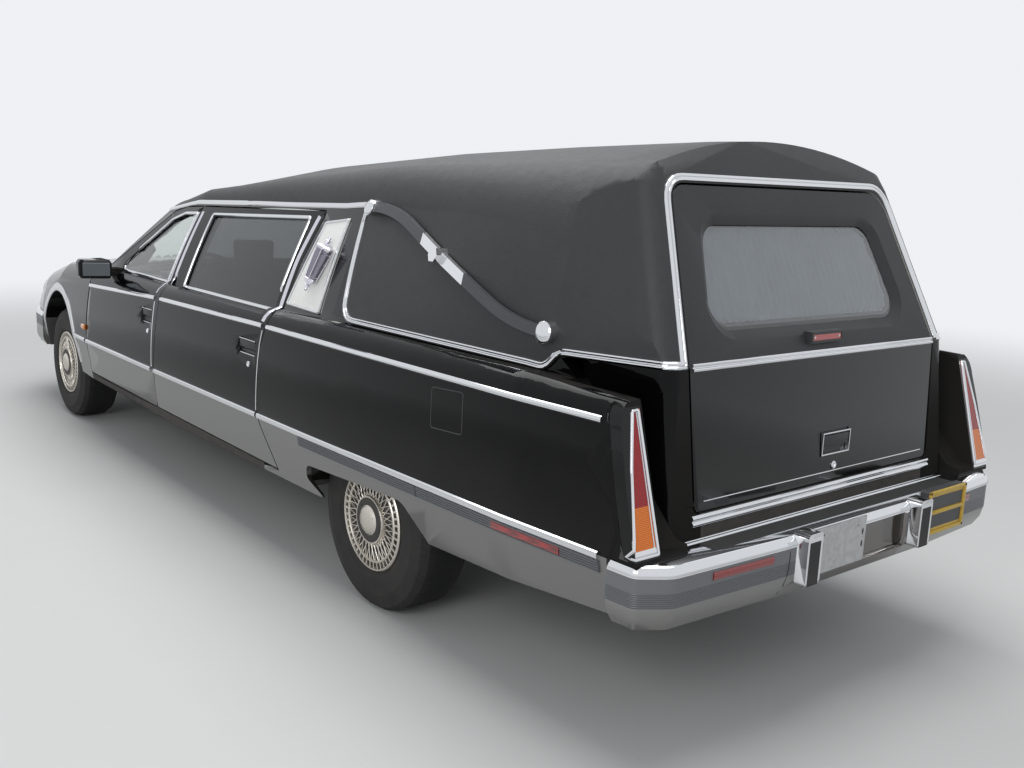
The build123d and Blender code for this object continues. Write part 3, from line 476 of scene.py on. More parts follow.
def bar_finish():
    """Dark bar with a bright band over its middle and bright buttons at its ends."""
    finish = Finish("landau_bar_metal")
    along = finish.x + MIDDLE
    bright = (along > -0.430) * (along < -0.140)
    for x, z, radius in BAR_BUTTONS:
        bright = bright + disc(along - x, finish.z - z, radius + 0.0005)
    bright = bright.capped()
    grain = finish.noise(400.0, 3.0)
    dark = finish.mix(grain, (0.030, 0.030, 0.034), (0.060, 0.060, 0.067))
    finish.show(base_color=finish.mix(bright, dark, BRIGHT), metallic=bright,
                roughness=finish.blend(bright, grain * 0.1 + 0.36, grain * 0.05 + 0.08))
    return finish.relief(grain * (1 - bright), 0.0003, 0.4)


def holder_finish():
    """Galvanised plate with slots painted dark as shade on the left, yellow frame round two blank fields on
    the right.
    """
    finish = Finish("plate_holder_metal")
    framed = finish.y < -0.30
    recessed = framed * (abs(finish.y + 0.470) < 0.104) * (abs(abs(finish.z - 0.5915) - 0.031) < 0.0235)
    # Dark over the blank fields, and over the slots, which are painted dark as shade where openings would
    # be.
    dark_fields_and_slot_shade = recessed
    for y, z in ((0.022, 0.560), (0.022, 0.600), (0.258, 0.560), (0.258, 0.600)):
        dark_fields_and_slot_shade = dark_fields_and_slot_shade + disc(finish.y - y, (finish.z - z) * 0.45, 0.005)
    spangle = finish.cells(55.0) * 0.6 + finish.noise(160.0, 4.0) * 0.4
    grime = finish.noise(24.0, 5.0)
    metal = finish.mix(spangle, (0.34, 0.345, 0.35), (0.56, 0.565, 0.57))
    yellow = finish.mix(grime, (0.42, 0.27, 0.045), (0.62, 0.42, 0.07))
    dark = finish.mix(grime, (0.030, 0.031, 0.034), (0.055, 0.056, 0.060))
    colour = finish.mix(framed, metal, finish.mix(finish.x + MIDDLE > -1.5312, yellow, dark))
    finish.show(base_color=finish.mix(dark_fields_and_slot_shade.capped(), colour, dark), metallic=(1 - framed) * 0.7,
                roughness=finish.blend(framed, spangle * 0.2 + 0.34, grime * 0.15 + 0.38))
    return finish.relief(spangle * (1 - framed) - recessed * 2.0, 0.0006, 0.4)


def underbody_finish():
    """Carpet on the floor's upper faces, sprayed black under it."""
    finish = Finish("floor_pan")
    inside = (facing(finish, 2) > 0.5) * (finish.z > 0.40) * (finish.z < 0.75)
    tufts = finish.cells(380.0)
    carpet = finish.mix(tufts, (0.05, 0.048, 0.05), (0.02, 0.019, 0.02))
    spray = finish.mix(finish.noise(30.0, 6.0), (0.012, 0.012, 0.012), (0.06, 0.052, 0.044))
    finish.show(base_color=finish.mix(inside, spray, carpet), roughness=finish.blend(inside, 0.75, 0.95))
    return finish.relief(tufts * inside + finish.noise(90.0), 0.001, 0.6)


paint = paint_finish()
door_paint = door_finish()
roof_cover = roof_finish()
rear_cover = rear_door_finish()
chrome = chrome_finish("chrome", (0.72, 0.73, 0.75), 0.07)
grille_metal = grille_finish()
satin = chrome_finish("satin_metal", (0.62, 0.62, 0.63), 0.28)
clear_glass = glass_finish("clear_glass", (0.86, 0.9, 0.88))
rear_glass = glass_finish("rear_glass", (0.72, 0.77, 0.82), ior=1.85)
dark_glass = glass_finish("tinted_glass", (0.10, 0.11, 0.115))
tail_lens = tail_lamp_finish()
brake_lens = brake_lamp_finish()
red_lens = lens_finish("red_lens", (0.34, 0.006, 0.009), (0.13, 0.002, 0.003), 0.005, "y")
amber_lens = lens_finish("amber_lens", (0.95, 0.30, 0.02), (0.55, 0.12, 0.005), 0.005, "x")
head_lens = lens_finish("headlamp_lens", (0.62, 0.64, 0.66), (0.30, 0.31, 0.33), 0.012, "y")
front_rubber = rubber_finish("front_tyre_rubber", WHEELBASE, FRONT_HALF_TRACK)
rear_rubber = rubber_finish("rear_tyre_rubber", 0.0, REAR_HALF_TRACK)
cover_metal = cover_finish()
wheel_steel = wheel_finish()
black_plastic = plain_finish("black_plastic", (0.03, 0.03, 0.031), (0.014, 0.014, 0.015), 500, 0.5)
black_rubber = plain_finish("black_rubber", (0.022, 0.022, 0.022), (0.01, 0.01, 0.01), 300, 0.75)
grey_insert = plain_finish("grey_insert", (0.16, 0.165, 0.18), (0.095, 0.10, 0.11), 200, 0.55)
dash_plastic = plain_finish("dash_plastic", (0.055, 0.055, 0.06), (0.03, 0.03, 0.033), 700, 0.6)
frame_coat = plain_finish("frame_coat", (0.045, 0.04, 0.035), (0.012, 0.012, 0.012), 40, 0.6)
cast_metal = plain_finish("cast_metal", (0.20, 0.19, 0.18), (0.07, 0.066, 0.06), 60, 0.5, 0.001, 0.8)
pipe_steel = plain_finish("pipe_steel", (0.25, 0.21, 0.17), (0.10, 0.075, 0.055), 45, 0.45, 0.0006, 0.85)
tank_coat = plain_finish("tank_coat", (0.06, 0.058, 0.055), (0.02, 0.02, 0.02), 30, 0.5)
yellow_paint = plain_finish("yellow_paint", (0.62, 0.42, 0.05), (0.42, 0.27, 0.03), 60, 0.4)
white_panel = plain_finish("coach_panel_enamel", (0.80, 0.80, 0.775), (0.70, 0.70, 0.68), 35, 0.22)
bar_metal = bar_finish()
bumper_bands = bumper_finish()
lantern_pane = plain_finish("lantern_pane", (0.30, 0.28, 0.34), (0.19, 0.18, 0.23), 250, 0.25)
lamp_metal = chrome_finish("lamp_metal", (0.70, 0.68, 0.75), 0.14)
mirror_glass = chrome_finish("mirror_glass", (0.10, 0.11, 0.12), 0.04)
holder_paint = holder_finish()
leather = leather_finish("seat_leather", (0.115, 0.115, 0.12), (0.05, 0.05, 0.053))
curtain_cloth = cloth_finish("curtain_cloth", (0.74, 0.76, 0.78), (0.56, 0.58, 0.60))
deck_boards = deck_finish()
floor_cover = underbody_finish()


# Mesh helpers.


def take(finish, mesh):
    mesh.materials.clear()
    mesh.materials.append(finish.material)


def settle(bm, name, body, finish, angle=35):
    """Closes a bmesh into a piece that rides on a body."""
    mesh = bpy.data.meshes.new(name)
    bm.to_mesh(mesh)
    bm.free()
    mesh.shade_smooth()
    mesh.set_sharp_from_angle(angle=radians(angle))
    take(finish, mesh)
    piece = bpy.data.objects.new(name, mesh)
    bpy.context.scene.collection.objects.link(piece)
    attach(piece, body)
    return piece


def tidy(bm):
    bmesh.ops.remove_doubles(bm, verts=bm.verts, dist=1e-5)
    bmesh.ops.recalc_face_normals(bm, faces=bm.faces)


def pair(bm, name, body, finish, angle=35):
    """The left piece and its mirror image; body may hold {side}."""
    other = bm.copy()
    bmesh.ops.scale(other, verts=other.verts, vec=(1, -1, 1))
    bmesh.ops.reverse_faces(other, faces=other.faces)
    return [settle(bm, f"{name}_left", body.format(side="left"), finish, angle),
            settle(other, f"{name}_right", body.format(side="right"), finish, angle)]


def brick(bm, low, high, bevel, segments=2):
    """A block between two corners with its edges rounded."""
    low, high = Vector(low), Vector(high)
    made = bmesh.ops.create_cube(bm, size=1.0)["verts"]
    bmesh.ops.scale(bm, verts=made, vec=high - low)
    bmesh.ops.translate(bm, verts=made, vec=(low + high) / 2)
    edges = {edge for vert in made for edge in vert.link_edges}
    bmesh.ops.bevel(bm, geom=list(edges), offset=bevel, offset_type="OFFSET", affect="EDGES",
                    segments=segments, profile=0.5, material=-1, clamp_overlap=True)


def lathe(bm, profile, centre, axis, steps=32):
    """Rows of (radius, distance along the axis) spun about it; ends at radius 0 close."""
    axis = Vector(axis)
    side = axis.orthogonal().normalized()
    centre = Vector(centre)
    verts = [bm.verts.new(centre + side * r + axis * d) for r, d in profile]
    edges = [bm.edges.new(two) for two in zip(verts, verts[1:])]
    bmesh.ops.spin(bm, geom=verts + edges, cent=centre, axis=axis, dvec=(0, 0, 0),
                   angle=2 * pi, steps=steps, use_merge=True, use_duplicate=False)


def rounded(corners, step, closed=False):
    """Points a step apart along a line of (a, b) or (a, b, corner radius) corners."""
    line = []
    count = len(corners)
    for i, corner in enumerate(corners):
        here = Vector(corner[:2])
        radius = corner[2] if len(corner) > 2 else 0
        if not radius or (not closed and i in (0, count - 1)):
            line.append(here)
            continue
        back = (Vector(corners[i - 1][:2]) - here).normalized()
        on = (Vector(corners[(i + 1) % count][:2]) - here).normalized()
        half = back.angle(on) / 2
        start, end = here + back * radius / tan(half), here + on * radius / tan(half)
        for k in range(7):
            t = k / 6
            line.append(start * (1 - t) ** 2 + here * 2 * t * (1 - t) + end * t * t)
    if closed:
        line.append(line[0])
    result = []
    for first, second in zip(line, line[1:]):
        parts = max(1, round((second - first).length / step))
        result += [first.lerp(second, k / parts) for k in range(parts)]
    return result if closed else result + [line[-1]]


def skin(*names):
    """Search tree over the outsides of some CAD nodes."""
    verts, faces = [], []
    for name in names:
        mesh = nodes[name].data
        start = len(verts)
        verts += [vert.co.copy() for vert in mesh.vertices]
        faces += [tuple(start + i for i in face.vertices) for face in mesh.polygons]
    return BVHTree.FromPolygons(verts, faces)


def laid(tree, starts, toward):
    """Stations where rays from the starts meet the surface, each with its outward normal."""
    stations = []
    for start in starts:
        aim = (toward - start).normalized() if isinstance(toward, Vector) else Vector(toward)
        place, normal, _, _ = tree.ray_cast(start, aim)
        if place is not None:
            stations.append((place, normal if normal.dot(aim) < 0 else -normal))
    return stations


def on_side(tree, corners, step=0.03, closed=False):
    """Stations along an (x, z) line on the left side."""
    starts = [at(a, 1.6, b) for a, b in rounded(corners, step, closed)]
    return laid(tree, starts, (0, -1, 0))


def on_rear(tree, corners, step=0.03, closed=False):
    """Stations along a (y, z) line on the back."""
    starts = [at(-3.0, a, b) for a, b in rounded(corners, step, closed)]
    return laid(tree, starts, (1, 0, 0))


def around(tree, corners, height):
    """Stations at one height along an (x, y) plan, met from outside the car."""
    line = rounded(corners, 0.03)
    stations = []
    for i, place in enumerate(line):
        along = line[min(i + 1, len(line) - 1)] - line[max(i - 1, 0)]
        out = Vector((along.y, -along.x)).normalized()
        if out.dot(place - Vector((MIDDLE, 0))) < 0:
            out = -out
        start = place + out * 0.2
        stations += laid(tree, [at(start.x, start.y, height)], (-out.x, -out.y, 0))
    return stations


def on_front(tree, corners, step=0.03, closed=False):
    """Stations along a (y, z) line on the nose."""
    starts = [at(6.0, a, b) for a, b in rounded(corners, step, closed)]
    return laid(tree, starts, (-1, 0, 0))


SMOOTHINGS = 2


def sweep(bm, stations, profile, closed):
    """A closed profile of (across, out) points extruded from station to station."""
    places = [place for place, _ in stations]
    outs = [out.copy() for _, out in stations]
    count = len(places)
    for _ in range(SMOOTHINGS):
        beside = [(outs[i - 1] if closed or i else outs[0], outs[i],
                   outs[(i + 1) % count] if closed or i + 1 < count else outs[-1])
                  for i in range(count)]
        outs = [(a + b * 2 + c).normalized() for a, b, c in beside]
    frames = []
    for i in range(count):
        before = places[i - 1] if closed or i else places[0]
        after = places[(i + 1) % count] if closed or i + 1 < count else places[-1]
        along = (after - before).normalized()
        out = (outs[i] - along * outs[i].dot(along)).normalized()
        across = along.cross(out)
        turn = Matrix((across, out, along)).transposed().to_4x4()
        frames.append(Matrix.Translation(places[i]) @ turn)
    first = [bm.verts.new(frames[0] @ Vector((a, o, 0))) for a, o in profile]
    ring = [bm.edges.new((first[i - 1], first[i])) for i in range(len(first))]
    if not closed:
        bmesh.ops.contextual_create(bm, geom=ring)
    steps = list(zip(frames, frames[1:])) + ([(frames[-1], frames[0])] if closed else [])
    for here, there in steps:
        made = bmesh.ops.extrude_edge_only(bm, edges=ring)["geom"]
        fresh = [item for item in made if isinstance(item, bmesh.types.BMVert)]
        ring = [item for item in made if isinstance(item, bmesh.types.BMEdge)
                and all(vert in fresh for vert in item.verts)]
        bmesh.ops.transform(bm, matrix=there @ here.inverted(), verts=fresh)
    if not closed:
        bmesh.ops.contextual_create(bm, geom=ring)


# How far a strip's section reaches below the surface it lies on.
SINK = 0.002


def bead(width, height, sink=SINK):
    """Half-round section."""
    points = [(-0.5, -sink / height), (-0.5, 0.4), (-0.36, 0.82), (0, 1), (0.36, 0.82), (0.5, 0.4),
              (0.5, -sink / height)]
    return [(width * a, height * b) for a, b in points]


def double_bead(width, height):
    """Two round beads with a groove between them."""
    half = [(0.04, 0.35), (0.12, 0.8), (0.26, 1.0), (0.42, 0.75), (0.5, 0.2), (0.5, -SINK / height)]
    right = [(width * a, height * b) for a, b in half]
    return [(-a, b) for a, b in reversed(right)] + right


def ribbed(width, height, count):
    """A flat strip with fine ribs along it."""
    points = [(-width / 2, -SINK)]
    rib = width / count
    for i in range(count):
        left = -width / 2 + width * i / count
        points += [(left + rib * share, height * rise)
                   for share, rise in ((0.1, 0.45), (0.3, 1), (0.7, 1), (0.9, 0.45))]
    return points + [(width / 2, -SINK)]


def strip(name, body, finish, stations, profile, closed=False, both=True):
    """A piece swept along stations, on the left with its mirror image or by itself."""
    bm = bmesh.new()
    sweep(bm, stations, profile, closed)
    tidy(bm)
    return pair(bm, name, body, finish) if both else settle(bm, name, body, finish)


def spot(on, tree, a, b):
    """The station at one place on a surface."""
    return on(tree, [(a, b), (a + 0.002, b)])[0]


def joined(name, body, finish, blocks=(), studs=(), both=False):
    """One piece of blocks (low, high, bevel, segments) and turned studs (station, profile, steps)."""
    bm = bmesh.new()
    for low, high, *edge in blocks:
        brick(bm, at(*low), at(*high), *edge)
    for (place, normal), profile, *steps in studs:
        lathe(bm, profile, place, normal, *steps)
    tidy(bm)
    return pair(bm, name, body, finish) if both else settle(bm, name, body, finish)


def dressed(name, finish, angle=24):
    """A merged copy with smoothly shaded curves, which stands for a solid piece."""
    source = nodes[name]
    bm = bmesh.new()
    bm.from_mesh(source.data)
    bmesh.ops.remove_doubles(bm, verts=bm.verts, dist=3e-5)
    piece = settle(bm, f"{name}_finished", source["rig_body"], finish, angle)
    custom = piece.data.attributes.get("custom_normal")
    if custom:
        piece.data.attributes.remove(custom)
    weighted = piece.modifiers.new("even_shading", "WEIGHTED_NORMAL")
    weighted.keep_sharp = True
    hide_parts(name)
    return piece


SIDE_SHELLS = {"quarter_panel": paint, "fender": paint, "front_door": door_paint, "side_door": door_paint,
               "front_door_glass": clear_glass, "side_door_glass": dark_glass, "mirror": paint}
MIDDLE_SHELLS = {"nose_panel": paint, "hood": paint, "roof_shell": roof_cover, "rear_door": rear_cover,
                 "rear_door_glass": rear_glass, "windscreen": clear_glass, "tail_lamps": tail_lens,
                 "headlamps": head_lens, "brake_lamp": brake_lens, "floor_and_cowl": floor_cover,
                 "front_bumper": bumper_bands, "rear_bumper": bumper_bands}
for side in ("left", "right"):
    for name, finish in SIDE_SHELLS.items():
        dressed(f"{name}_{side}", finish)
for name, finish in MIDDLE_SHELLS.items():
    dressed(name, finish)

# The tail pipe ends out of sight, ahead of the rear bumper.
PIPE_END = -1.170
exhaust = dressed("exhaust", pipe_steel, 50)
bm = bmesh.new()
bm.from_mesh(exhaust.data)
cut = bmesh.ops.bisect_plane(bm, geom=bm.verts[:] + bm.edges[:] + bm.faces[:], dist=1e-5,
                             plane_co=at(PIPE_END, 0, 0), plane_no=(-1, 0, 0), clear_outer=True)
rim = [item for item in cut["geom_cut"] if isinstance(item, bmesh.types.BMEdge)]
bmesh.ops.contextual_create(bm, geom=rim)
bm.to_mesh(exhaust.data)
bm.free()

# Pieces that show as they are, in their finish. A name that isn't a node's stands for two of them.
CARRIED = {
    "chassis_frame": frame_coat, "engine": cast_metal, "fuel_tank": tank_coat, "rear_axle": cast_metal,
    "dashboard": dash_plastic, "steering_wheel": dash_plastic, "casket_deck": deck_boards,
    "coach_panels": white_panel, "landau_bars": bar_metal, "grille": grille_metal,
    "plate_holders": holder_paint, "knuckle": cast_metal, "wheel_front": wheel_steel,
    "wheel_rear": wheel_steel, "tyre_front": front_rubber, "tyre_rear": rear_rubber}
for name, finish in CARRIED.items():
    for node in [name] if name in nodes else [f"{name}_left", f"{name}_right"]:
        take(finish, nodes[node].data)

# Wheel covers: a slotted outer ring, crossed wires and a smooth raised centre. The profiles are rows
# of (radius, distance out from the wheel's middle).
RIM_RING = [(0.199, 0.0985), (0.199, 0.106), (0.195, 0.110), (0.190, 0.110), (0.187, 0.104),
            (0.187, 0.0985)]
SLOT_RING = [(0.166, 0.0985), (0.167, 0.108), (0.164, 0.111), (0.158, 0.111), (0.156, 0.108),
             (0.156, 0.0985)]
BOSS = [(0.093, 0.0985), (0.094, 0.112), (0.091, 0.117), (0.086, 0.117), (0.083, 0.113),
        (0.060, 0.118), (0.052, 0.124), (0.047, 0.128), (0.030, 0.131), (0, 0.132)]
SLOT_COUNT, BRIDGE_SIZE, BRIDGE_PLACE = 44, (0.024, 0.010, 0.0075), (0.1765, 0.1035, 0)
WIRE_COUNT, WIRE_RADIUS, WIRE_FOOT, WIRE_REACH = 32, 0.0022, (0.088, 0.106, 0), 0.160


def wheel_cover(name, x, half_track, body):
    centre = at(x, half_track, HUB_HEIGHT)
    out = Vector((0, 1, 0))
    bm = bmesh.new()
    lathe(bm, RIM_RING, centre, out, 96)
    lathe(bm, SLOT_RING, centre, out, 96)
    for i in range(SLOT_COUNT):
        made = bmesh.ops.create_cube(bm, size=1.0)["verts"]
        bmesh.ops.scale(bm, verts=made, vec=BRIDGE_SIZE)
        bmesh.ops.translate(bm, verts=made, vec=BRIDGE_PLACE)
        bmesh.ops.rotate(bm, verts=made, cent=(0, 0, 0), matrix=Matrix.Rotation(
            2 * pi * i / SLOT_COUNT, 3, "Y"))
        bmesh.ops.translate(bm, verts=made, vec=centre)
    for lean, lift in ((0.19, 0.1075), (-0.19, 0.1045)):
        for i in range(WIRE_COUNT):
            start = Matrix.Rotation(2 * pi * i / WIRE_COUNT, 3, "Y") @ Vector(WIRE_FOOT)
            end = Matrix.Rotation(2 * pi * i / WIRE_COUNT + lean, 3, "Y") @ Vector((WIRE_REACH, lift, 0))
            line = end - start
            made = bmesh.ops.create_cone(bm, cap_ends=True, segments=6, radius1=WIRE_RADIUS,
                                         radius2=WIRE_RADIUS, depth=line.length)["verts"]
            bmesh.ops.rotate(bm, verts=made, cent=(0, 0, 0),
                             matrix=line.to_track_quat("Z", "Y").to_matrix())
            bmesh.ops.translate(bm, verts=made, vec=centre + (start + end) / 2)
    lathe(bm, BOSS, centre, out, 72)
    tidy(bm)
    pair(bm, name, body, cover_metal, 40)


wheel_cover("front_wheel_cover", WHEELBASE, FRONT_HALF_TRACK, "front_wheel_{side}")
wheel_cover("rear_wheel_cover", 0.0, REAR_HALF_TRACK, "rear_wheel_{side}")

# Strips along the sides. Each panel is listed with the body it rides on and its left surface.
quarter_skin = skin("quarter_panel_left", "roof_shell")
roof_skin = skin("roof_shell")
rear_door_skin = skin("rear_door")
PANELS = {
    "fender": ("body", skin("fender_left")),
    "front_door": ("front_door_{side}", skin("front_door_left")),
    "side_door": ("side_door_{side}", skin("side_door_left")),
    "quarter": ("body", quarter_skin),
    "roof": ("body", roof_skin),
    "front_window": ("front_door_{side}", skin("front_door_left", "front_door_glass_left")),
    "side_window": ("side_door_{side}", skin("side_door_left", "side_door_glass_left")),
    "coach_panel": ("body", skin("coach_panels")),
}


def side_strip(name, panel, finish, line, profile, step=0.03, closed=False):
    """A strip along an (x, z) line of a panel, on both sides of the car."""
    body, tree = PANELS[panel]
    strip(name, body, finish, on_side(tree, line, step, closed), profile, closed)


BELT = bead(0.020, 0.009)
for panel, line in (("front_door", [(3.020, 0.930), (1.964, 0.976)]),
                    ("side_door", [(1.943, 0.977), (0.745, 0.996)]),
                    ("quarter", [(0.730, 0.996), (-1.262, 1.008)])):
    side_strip(f"belt_strip_{panel}", panel, chrome, line, BELT)

SILL = bead(0.024, 0.011)
for panel, line in (("fender", [(3.262, 0.601), (3.046, 0.603)]),
                    ("front_door", [(3.022, 0.603), (1.964, 0.611)]),
                    ("side_door", [(1.943, 0.611), (0.745, 0.620)]),
                    ("quarter", [(0.728, 0.620), (-1.325, 0.636)])):
    side_strip(f"sill_strip_{panel}", panel, chrome, line, SILL)

GUARD = ribbed(0.040, 0.007, 5)
side_strip("ribbed_strip_front", "quarter", grey_insert, [(0.374, 0.589), (-0.438, 0.595)], GUARD)
side_strip("ribbed_strip_rear", "quarter", grey_insert, [(-0.447, 0.595), (-1.325, 0.603)], GUARD)
side_strip("side_marker", "quarter", red_lens, [(-0.850, 0.599), (-1.145, 0.6015)], bead(0.026, 0.011))
side_strip("side_repeater", "fender", amber_lens, [(3.050, 0.680), (3.115, 0.680)], bead(0.030, 0.010),
           0.01)

# Window frames.
FRONT_WINDOW = [(2.768, 1.050, 0.045), (2.302, 1.353, 0.095), (2.150, 1.394, 0.045),
                (1.984, 1.402, 0.014), (1.989, 1.049, 0.014)]
SIDE_WINDOW = [(1.778, 1.049, 0.012), (1.783, 1.406, 0.016), (0.764, 1.444, 0.018),
               (0.801, 1.049, 0.012)]
FRAME_BEAD = bead(0.016, 0.006, 0.004)
side_strip("front_window_frame", "front_window", chrome, FRONT_WINDOW, FRAME_BEAD, 0.02, True)
side_strip("side_window_frame", "side_window", chrome, SIDE_WINDOW, FRAME_BEAD, 0.02, True)

side_strip("side_door_pillar_trim", "side_door", lamp_metal,
           [(0.690, 1.452), (0.740, 1.270, 0.4), (0.754, 1.012)], bead(0.030, 0.005), 0.02)
side_strip("front_pillar_trim", "front_door", lamp_metal, [(1.9705, 1.408), (1.9705, 1.000)],
           bead(0.012, 0.003), 0.02)
side_strip("middle_pillar_trim", "side_door", lamp_metal, [(1.925, 1.412), (1.925, 1.000)],
           bead(0.030, 0.003), 0.02)

# Drip rail and vinyl moulding, which runs down through the valley and on round the rear corner.
side_strip("drip_rail", "roof", chrome,
           [(2.42, 1.400), (2.05, 1.455, 1.2), (1.45, 1.475), (0.95, 1.488), (0.50, 1.503), (0.30, 1.518)],
           bead(0.024, 0.010))
MOULDING = double_bead(0.026, 0.008)
moulding_line = on_side(roof_skin, [(0.335, 1.515), (0.252, 1.085, 0.09), (-0.785, 1.078, 0.3),
                                    (-0.842, 1.076)], 0.015)
moulding_line += [(at(x, y, z), Vector((0, 0.98, 0.2))) for x, y, z in (
    (-0.860, 0.799, 1.079), (-0.877, 0.797, 1.089), (-0.892, 0.795, 1.104), (-0.906, 0.792, 1.119),
    (-0.922, 0.788, 1.128), (-0.940, 0.785, 1.131))]
moulding_line += on_side(roof_skin, [(-0.965, 1.132), (-1.222, 1.141)], 0.03)
corner = at(-1.242, 0.668, 1.1425)
for turn in range(80, -1, -10):
    start = corner + Vector((-0.3 * cos(radians(turn)), 0.3 * sin(radians(turn)), 0))
    moulding_line += laid(roof_skin, [start], corner)
strip("roof_moulding", "body", chrome, moulding_line, MOULDING)

# Rear door and its surround.
strip("rear_loop_moulding", "body", chrome,
      on_rear(roof_skin, [(0.673, 1.141), (0.568, 1.662, 0.09), (-0.568, 1.662, 0.09),
                          (-0.673, 1.141)]), MOULDING, both=False)
strip("rear_belt_moulding", "rear_door", chrome,
      on_rear(rear_door_skin, [(0.642, 1.133), (-0.642, 1.133)]), MOULDING, both=False)

# Brake lamp: a dark surround with a screw at each end.
brake_skin = skin("brake_lamp")
strip("brake_lamp_frame", "rear_door", black_plastic,
      on_rear(brake_skin, [(0.080, 1.171, 0.008), (0.080, 1.199, 0.008), (-0.080, 1.199, 0.008),
                           (-0.080, 1.171, 0.008)], 0.01, True),
      bead(0.009, 0.003), closed=True, both=False)
SCREW = [(0, -0.001), (0.004, -0.001), (0.004, 0.001), (0.002, 0.002), (0, 0.002)]
joined("brake_lamp_screws", "rear_door", satin,
       studs=[(spot(on_rear, brake_skin, y, 1.185), SCREW, 16) for y in (-0.066, 0.066)])

# Coach panel border.
side_strip("coach_panel_border", "coach_panel", chrome,
           [(0.435, 1.086, 0.004), (0.698, 1.094, 0.004), (0.604, 1.430, 0.004), (0.436, 1.452, 0.004)],
           bead(0.010, 0.005), 0.02, True)

# Coach lamps: a glazed lantern that widens upwards, with stepped caps and turned finials.
LAMP_LOW, LAMP_HIGH = at(0.537, 0.880, 1.153), at(0.465, 0.798, 1.387)
LAMP_UP = (LAMP_HIGH - LAMP_LOW).normalized()
LAMP_SIDE = (Vector((1, 0, 0)) - LAMP_UP * LAMP_UP.x).normalized()
LAMP_TURN = Matrix((LAMP_SIDE, LAMP_UP.cross(LAMP_SIDE), LAMP_UP)).transposed().to_4x4()
LAMP_PLACE = Matrix.Translation((LAMP_LOW + LAMP_HIGH) / 2) @ LAMP_TURN
LAMP_FOOT = [(0, -0.087), (0.010, -0.087), (0.010, -0.082), (0.015, -0.080), (0.015, -0.076),
             (0.0200, -0.074), (0.0200, -0.064), (0.0180, -0.062), (0, -0.062)]
LAMP_CAP = [(0, 0.066), (0.0265, 0.066), (0.0285, 0.069), (0.0285, 0.078), (0.026, 0.081),
            (0.018, 0.086), (0.0105, 0.089), (0.0105, 0.094), (0, 0.094)]
LAMP_PANES = [(0, -0.063), (0.0170, -0.063), (0.0245, 0.067), (0, 0.067)]
LOW_FINIAL = [(0, -0.118), (0.0045, -0.117), (0.0080, -0.112), (0.0080, -0.107), (0.0045, -0.102),
              (0.0110, -0.098), (0.0110, -0.092), (0.006, -0.086), (0, -0.086)]
HIGH_FINIAL = [(0, 0.093), (0.006, 0.093), (0.0080, 0.097), (0.0120, 0.101), (0.0120, 0.107),
               (0.006, 0.111), (0.0085, 0.115), (0.0070, 0.120), (0, 0.122)]


def lamp_turned(bm, profile, steps):
    """A turned piece on the lamp's axis; four steps give square steps with those half widths."""
    grow = 2 ** 0.5 if steps == 4 else 1.0
    fresh = bmesh.new()
    lathe(fresh, [(r * grow, h) for r, h in profile], (0, 0, 0), (0, 0, 1), steps)
    bmesh.ops.rotate(fresh, verts=fresh.verts, cent=(0, 0, 0), matrix=Matrix.Rotation(pi / 4, 3, "Z"))
    bmesh.ops.transform(fresh, matrix=LAMP_PLACE, verts=fresh.verts)
    mesh = bpy.data.meshes.new("lamp_part")
    fresh.to_mesh(mesh)
    fresh.free()
    bm.from_mesh(mesh)
    bpy.data.meshes.remove(mesh)


lamp, panes = bmesh.new(), bmesh.new()
for profile, steps in ((LAMP_FOOT, 4), (LAMP_CAP, 4), (LOW_FINIAL, 20), (HIGH_FINIAL, 20)):
    lamp_turned(lamp, profile, steps)
lamp_turned(panes, LAMP_PANES, 4)
for i in range(4):
    quarter = LAMP_PLACE @ Matrix.Rotation(i * pi / 2, 4, "Z")
    for low, high, radius in (((0.0175, 0.0175, -0.066), (0.0250, 0.0250, 0.070), 0.0028),
                              ((-0.0165, 0.0178, -0.052), (0.0165, 0.0178, -0.052), 0.0020),
                              ((-0.0230, 0.0240, 0.052), (0.0230, 0.0240, 0.052), 0.0020)):
        low, high = quarter @ Vector(low), quarter @ Vector(high)
        length = (high - low).length
        lathe(lamp, [(0, 0), (radius, 0), (radius, length), (0, length)], low,
              (high - low).normalized(), 10)
brick(lamp, at(0.492, 0.765, 1.262), at(0.510, 0.828, 1.280), 0.003)
tidy(panes)
tidy(lamp)
for piece in pair(lamp, "coach_lamp_frame", "body", lamp_metal):
    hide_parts("coach_lamps")
pair(panes, "coach_lamp_panes", "body", lantern_pane)

# Landau bars: domed buttons at their ends.
bar_skin = skin("landau_bars")
joined("landau_bar_buttons", "body", chrome, studs=[
    (spot(on_side, bar_skin, x, z),
     [(0, -0.002), (r, -0.002), (r, 0.002), (r * 0.85, 0.006), (r * 0.5, 0.009), (0, 0.010)], 40)
    for x, z, r in BAR_BUTTONS], both=True)

# Bumpers: a rounded bright lip above the bands, and reflectors.
front_bumper_skin, rear_bumper_skin = skin("front_bumper"), skin("rear_bumper")
FRONT_PLAN = [(4.232, 0.917), (4.480, 0.893, 0.3), (4.730, 0.770, 0.16), (4.845, 0.420, 0.7),
              (4.870, 0.060), (4.870, 0.0)]
REAR_PLAN = [(-1.337, 0.949), (-1.425, 0.942, 0.04), (-1.486, 0.850, 0.08), (-1.510, 0.400, 0.4),
             (-1.510, 0.349)]
LIP = bead(0.030, 0.007)
strip("rear_bumper_lip", "body", chrome, around(rear_bumper_skin, REAR_PLAN, 0.624), LIP)
strip("rear_bumper_lip_middle", "body", chrome,
      on_rear(rear_bumper_skin, [(0.272, 0.627), (-0.272, 0.627)]), LIP, both=False)
strip("front_bumper_lip", "body", chrome,
      around(front_bumper_skin, FRONT_PLAN, 0.608), bead(0.030, 0.0003))
strip("rear_reflector", "body", red_lens,
      around(rear_bumper_skin, [(-1.497, 0.700), (-1.5085, 0.450)], 0.5865), bead(0.024, 0.004))

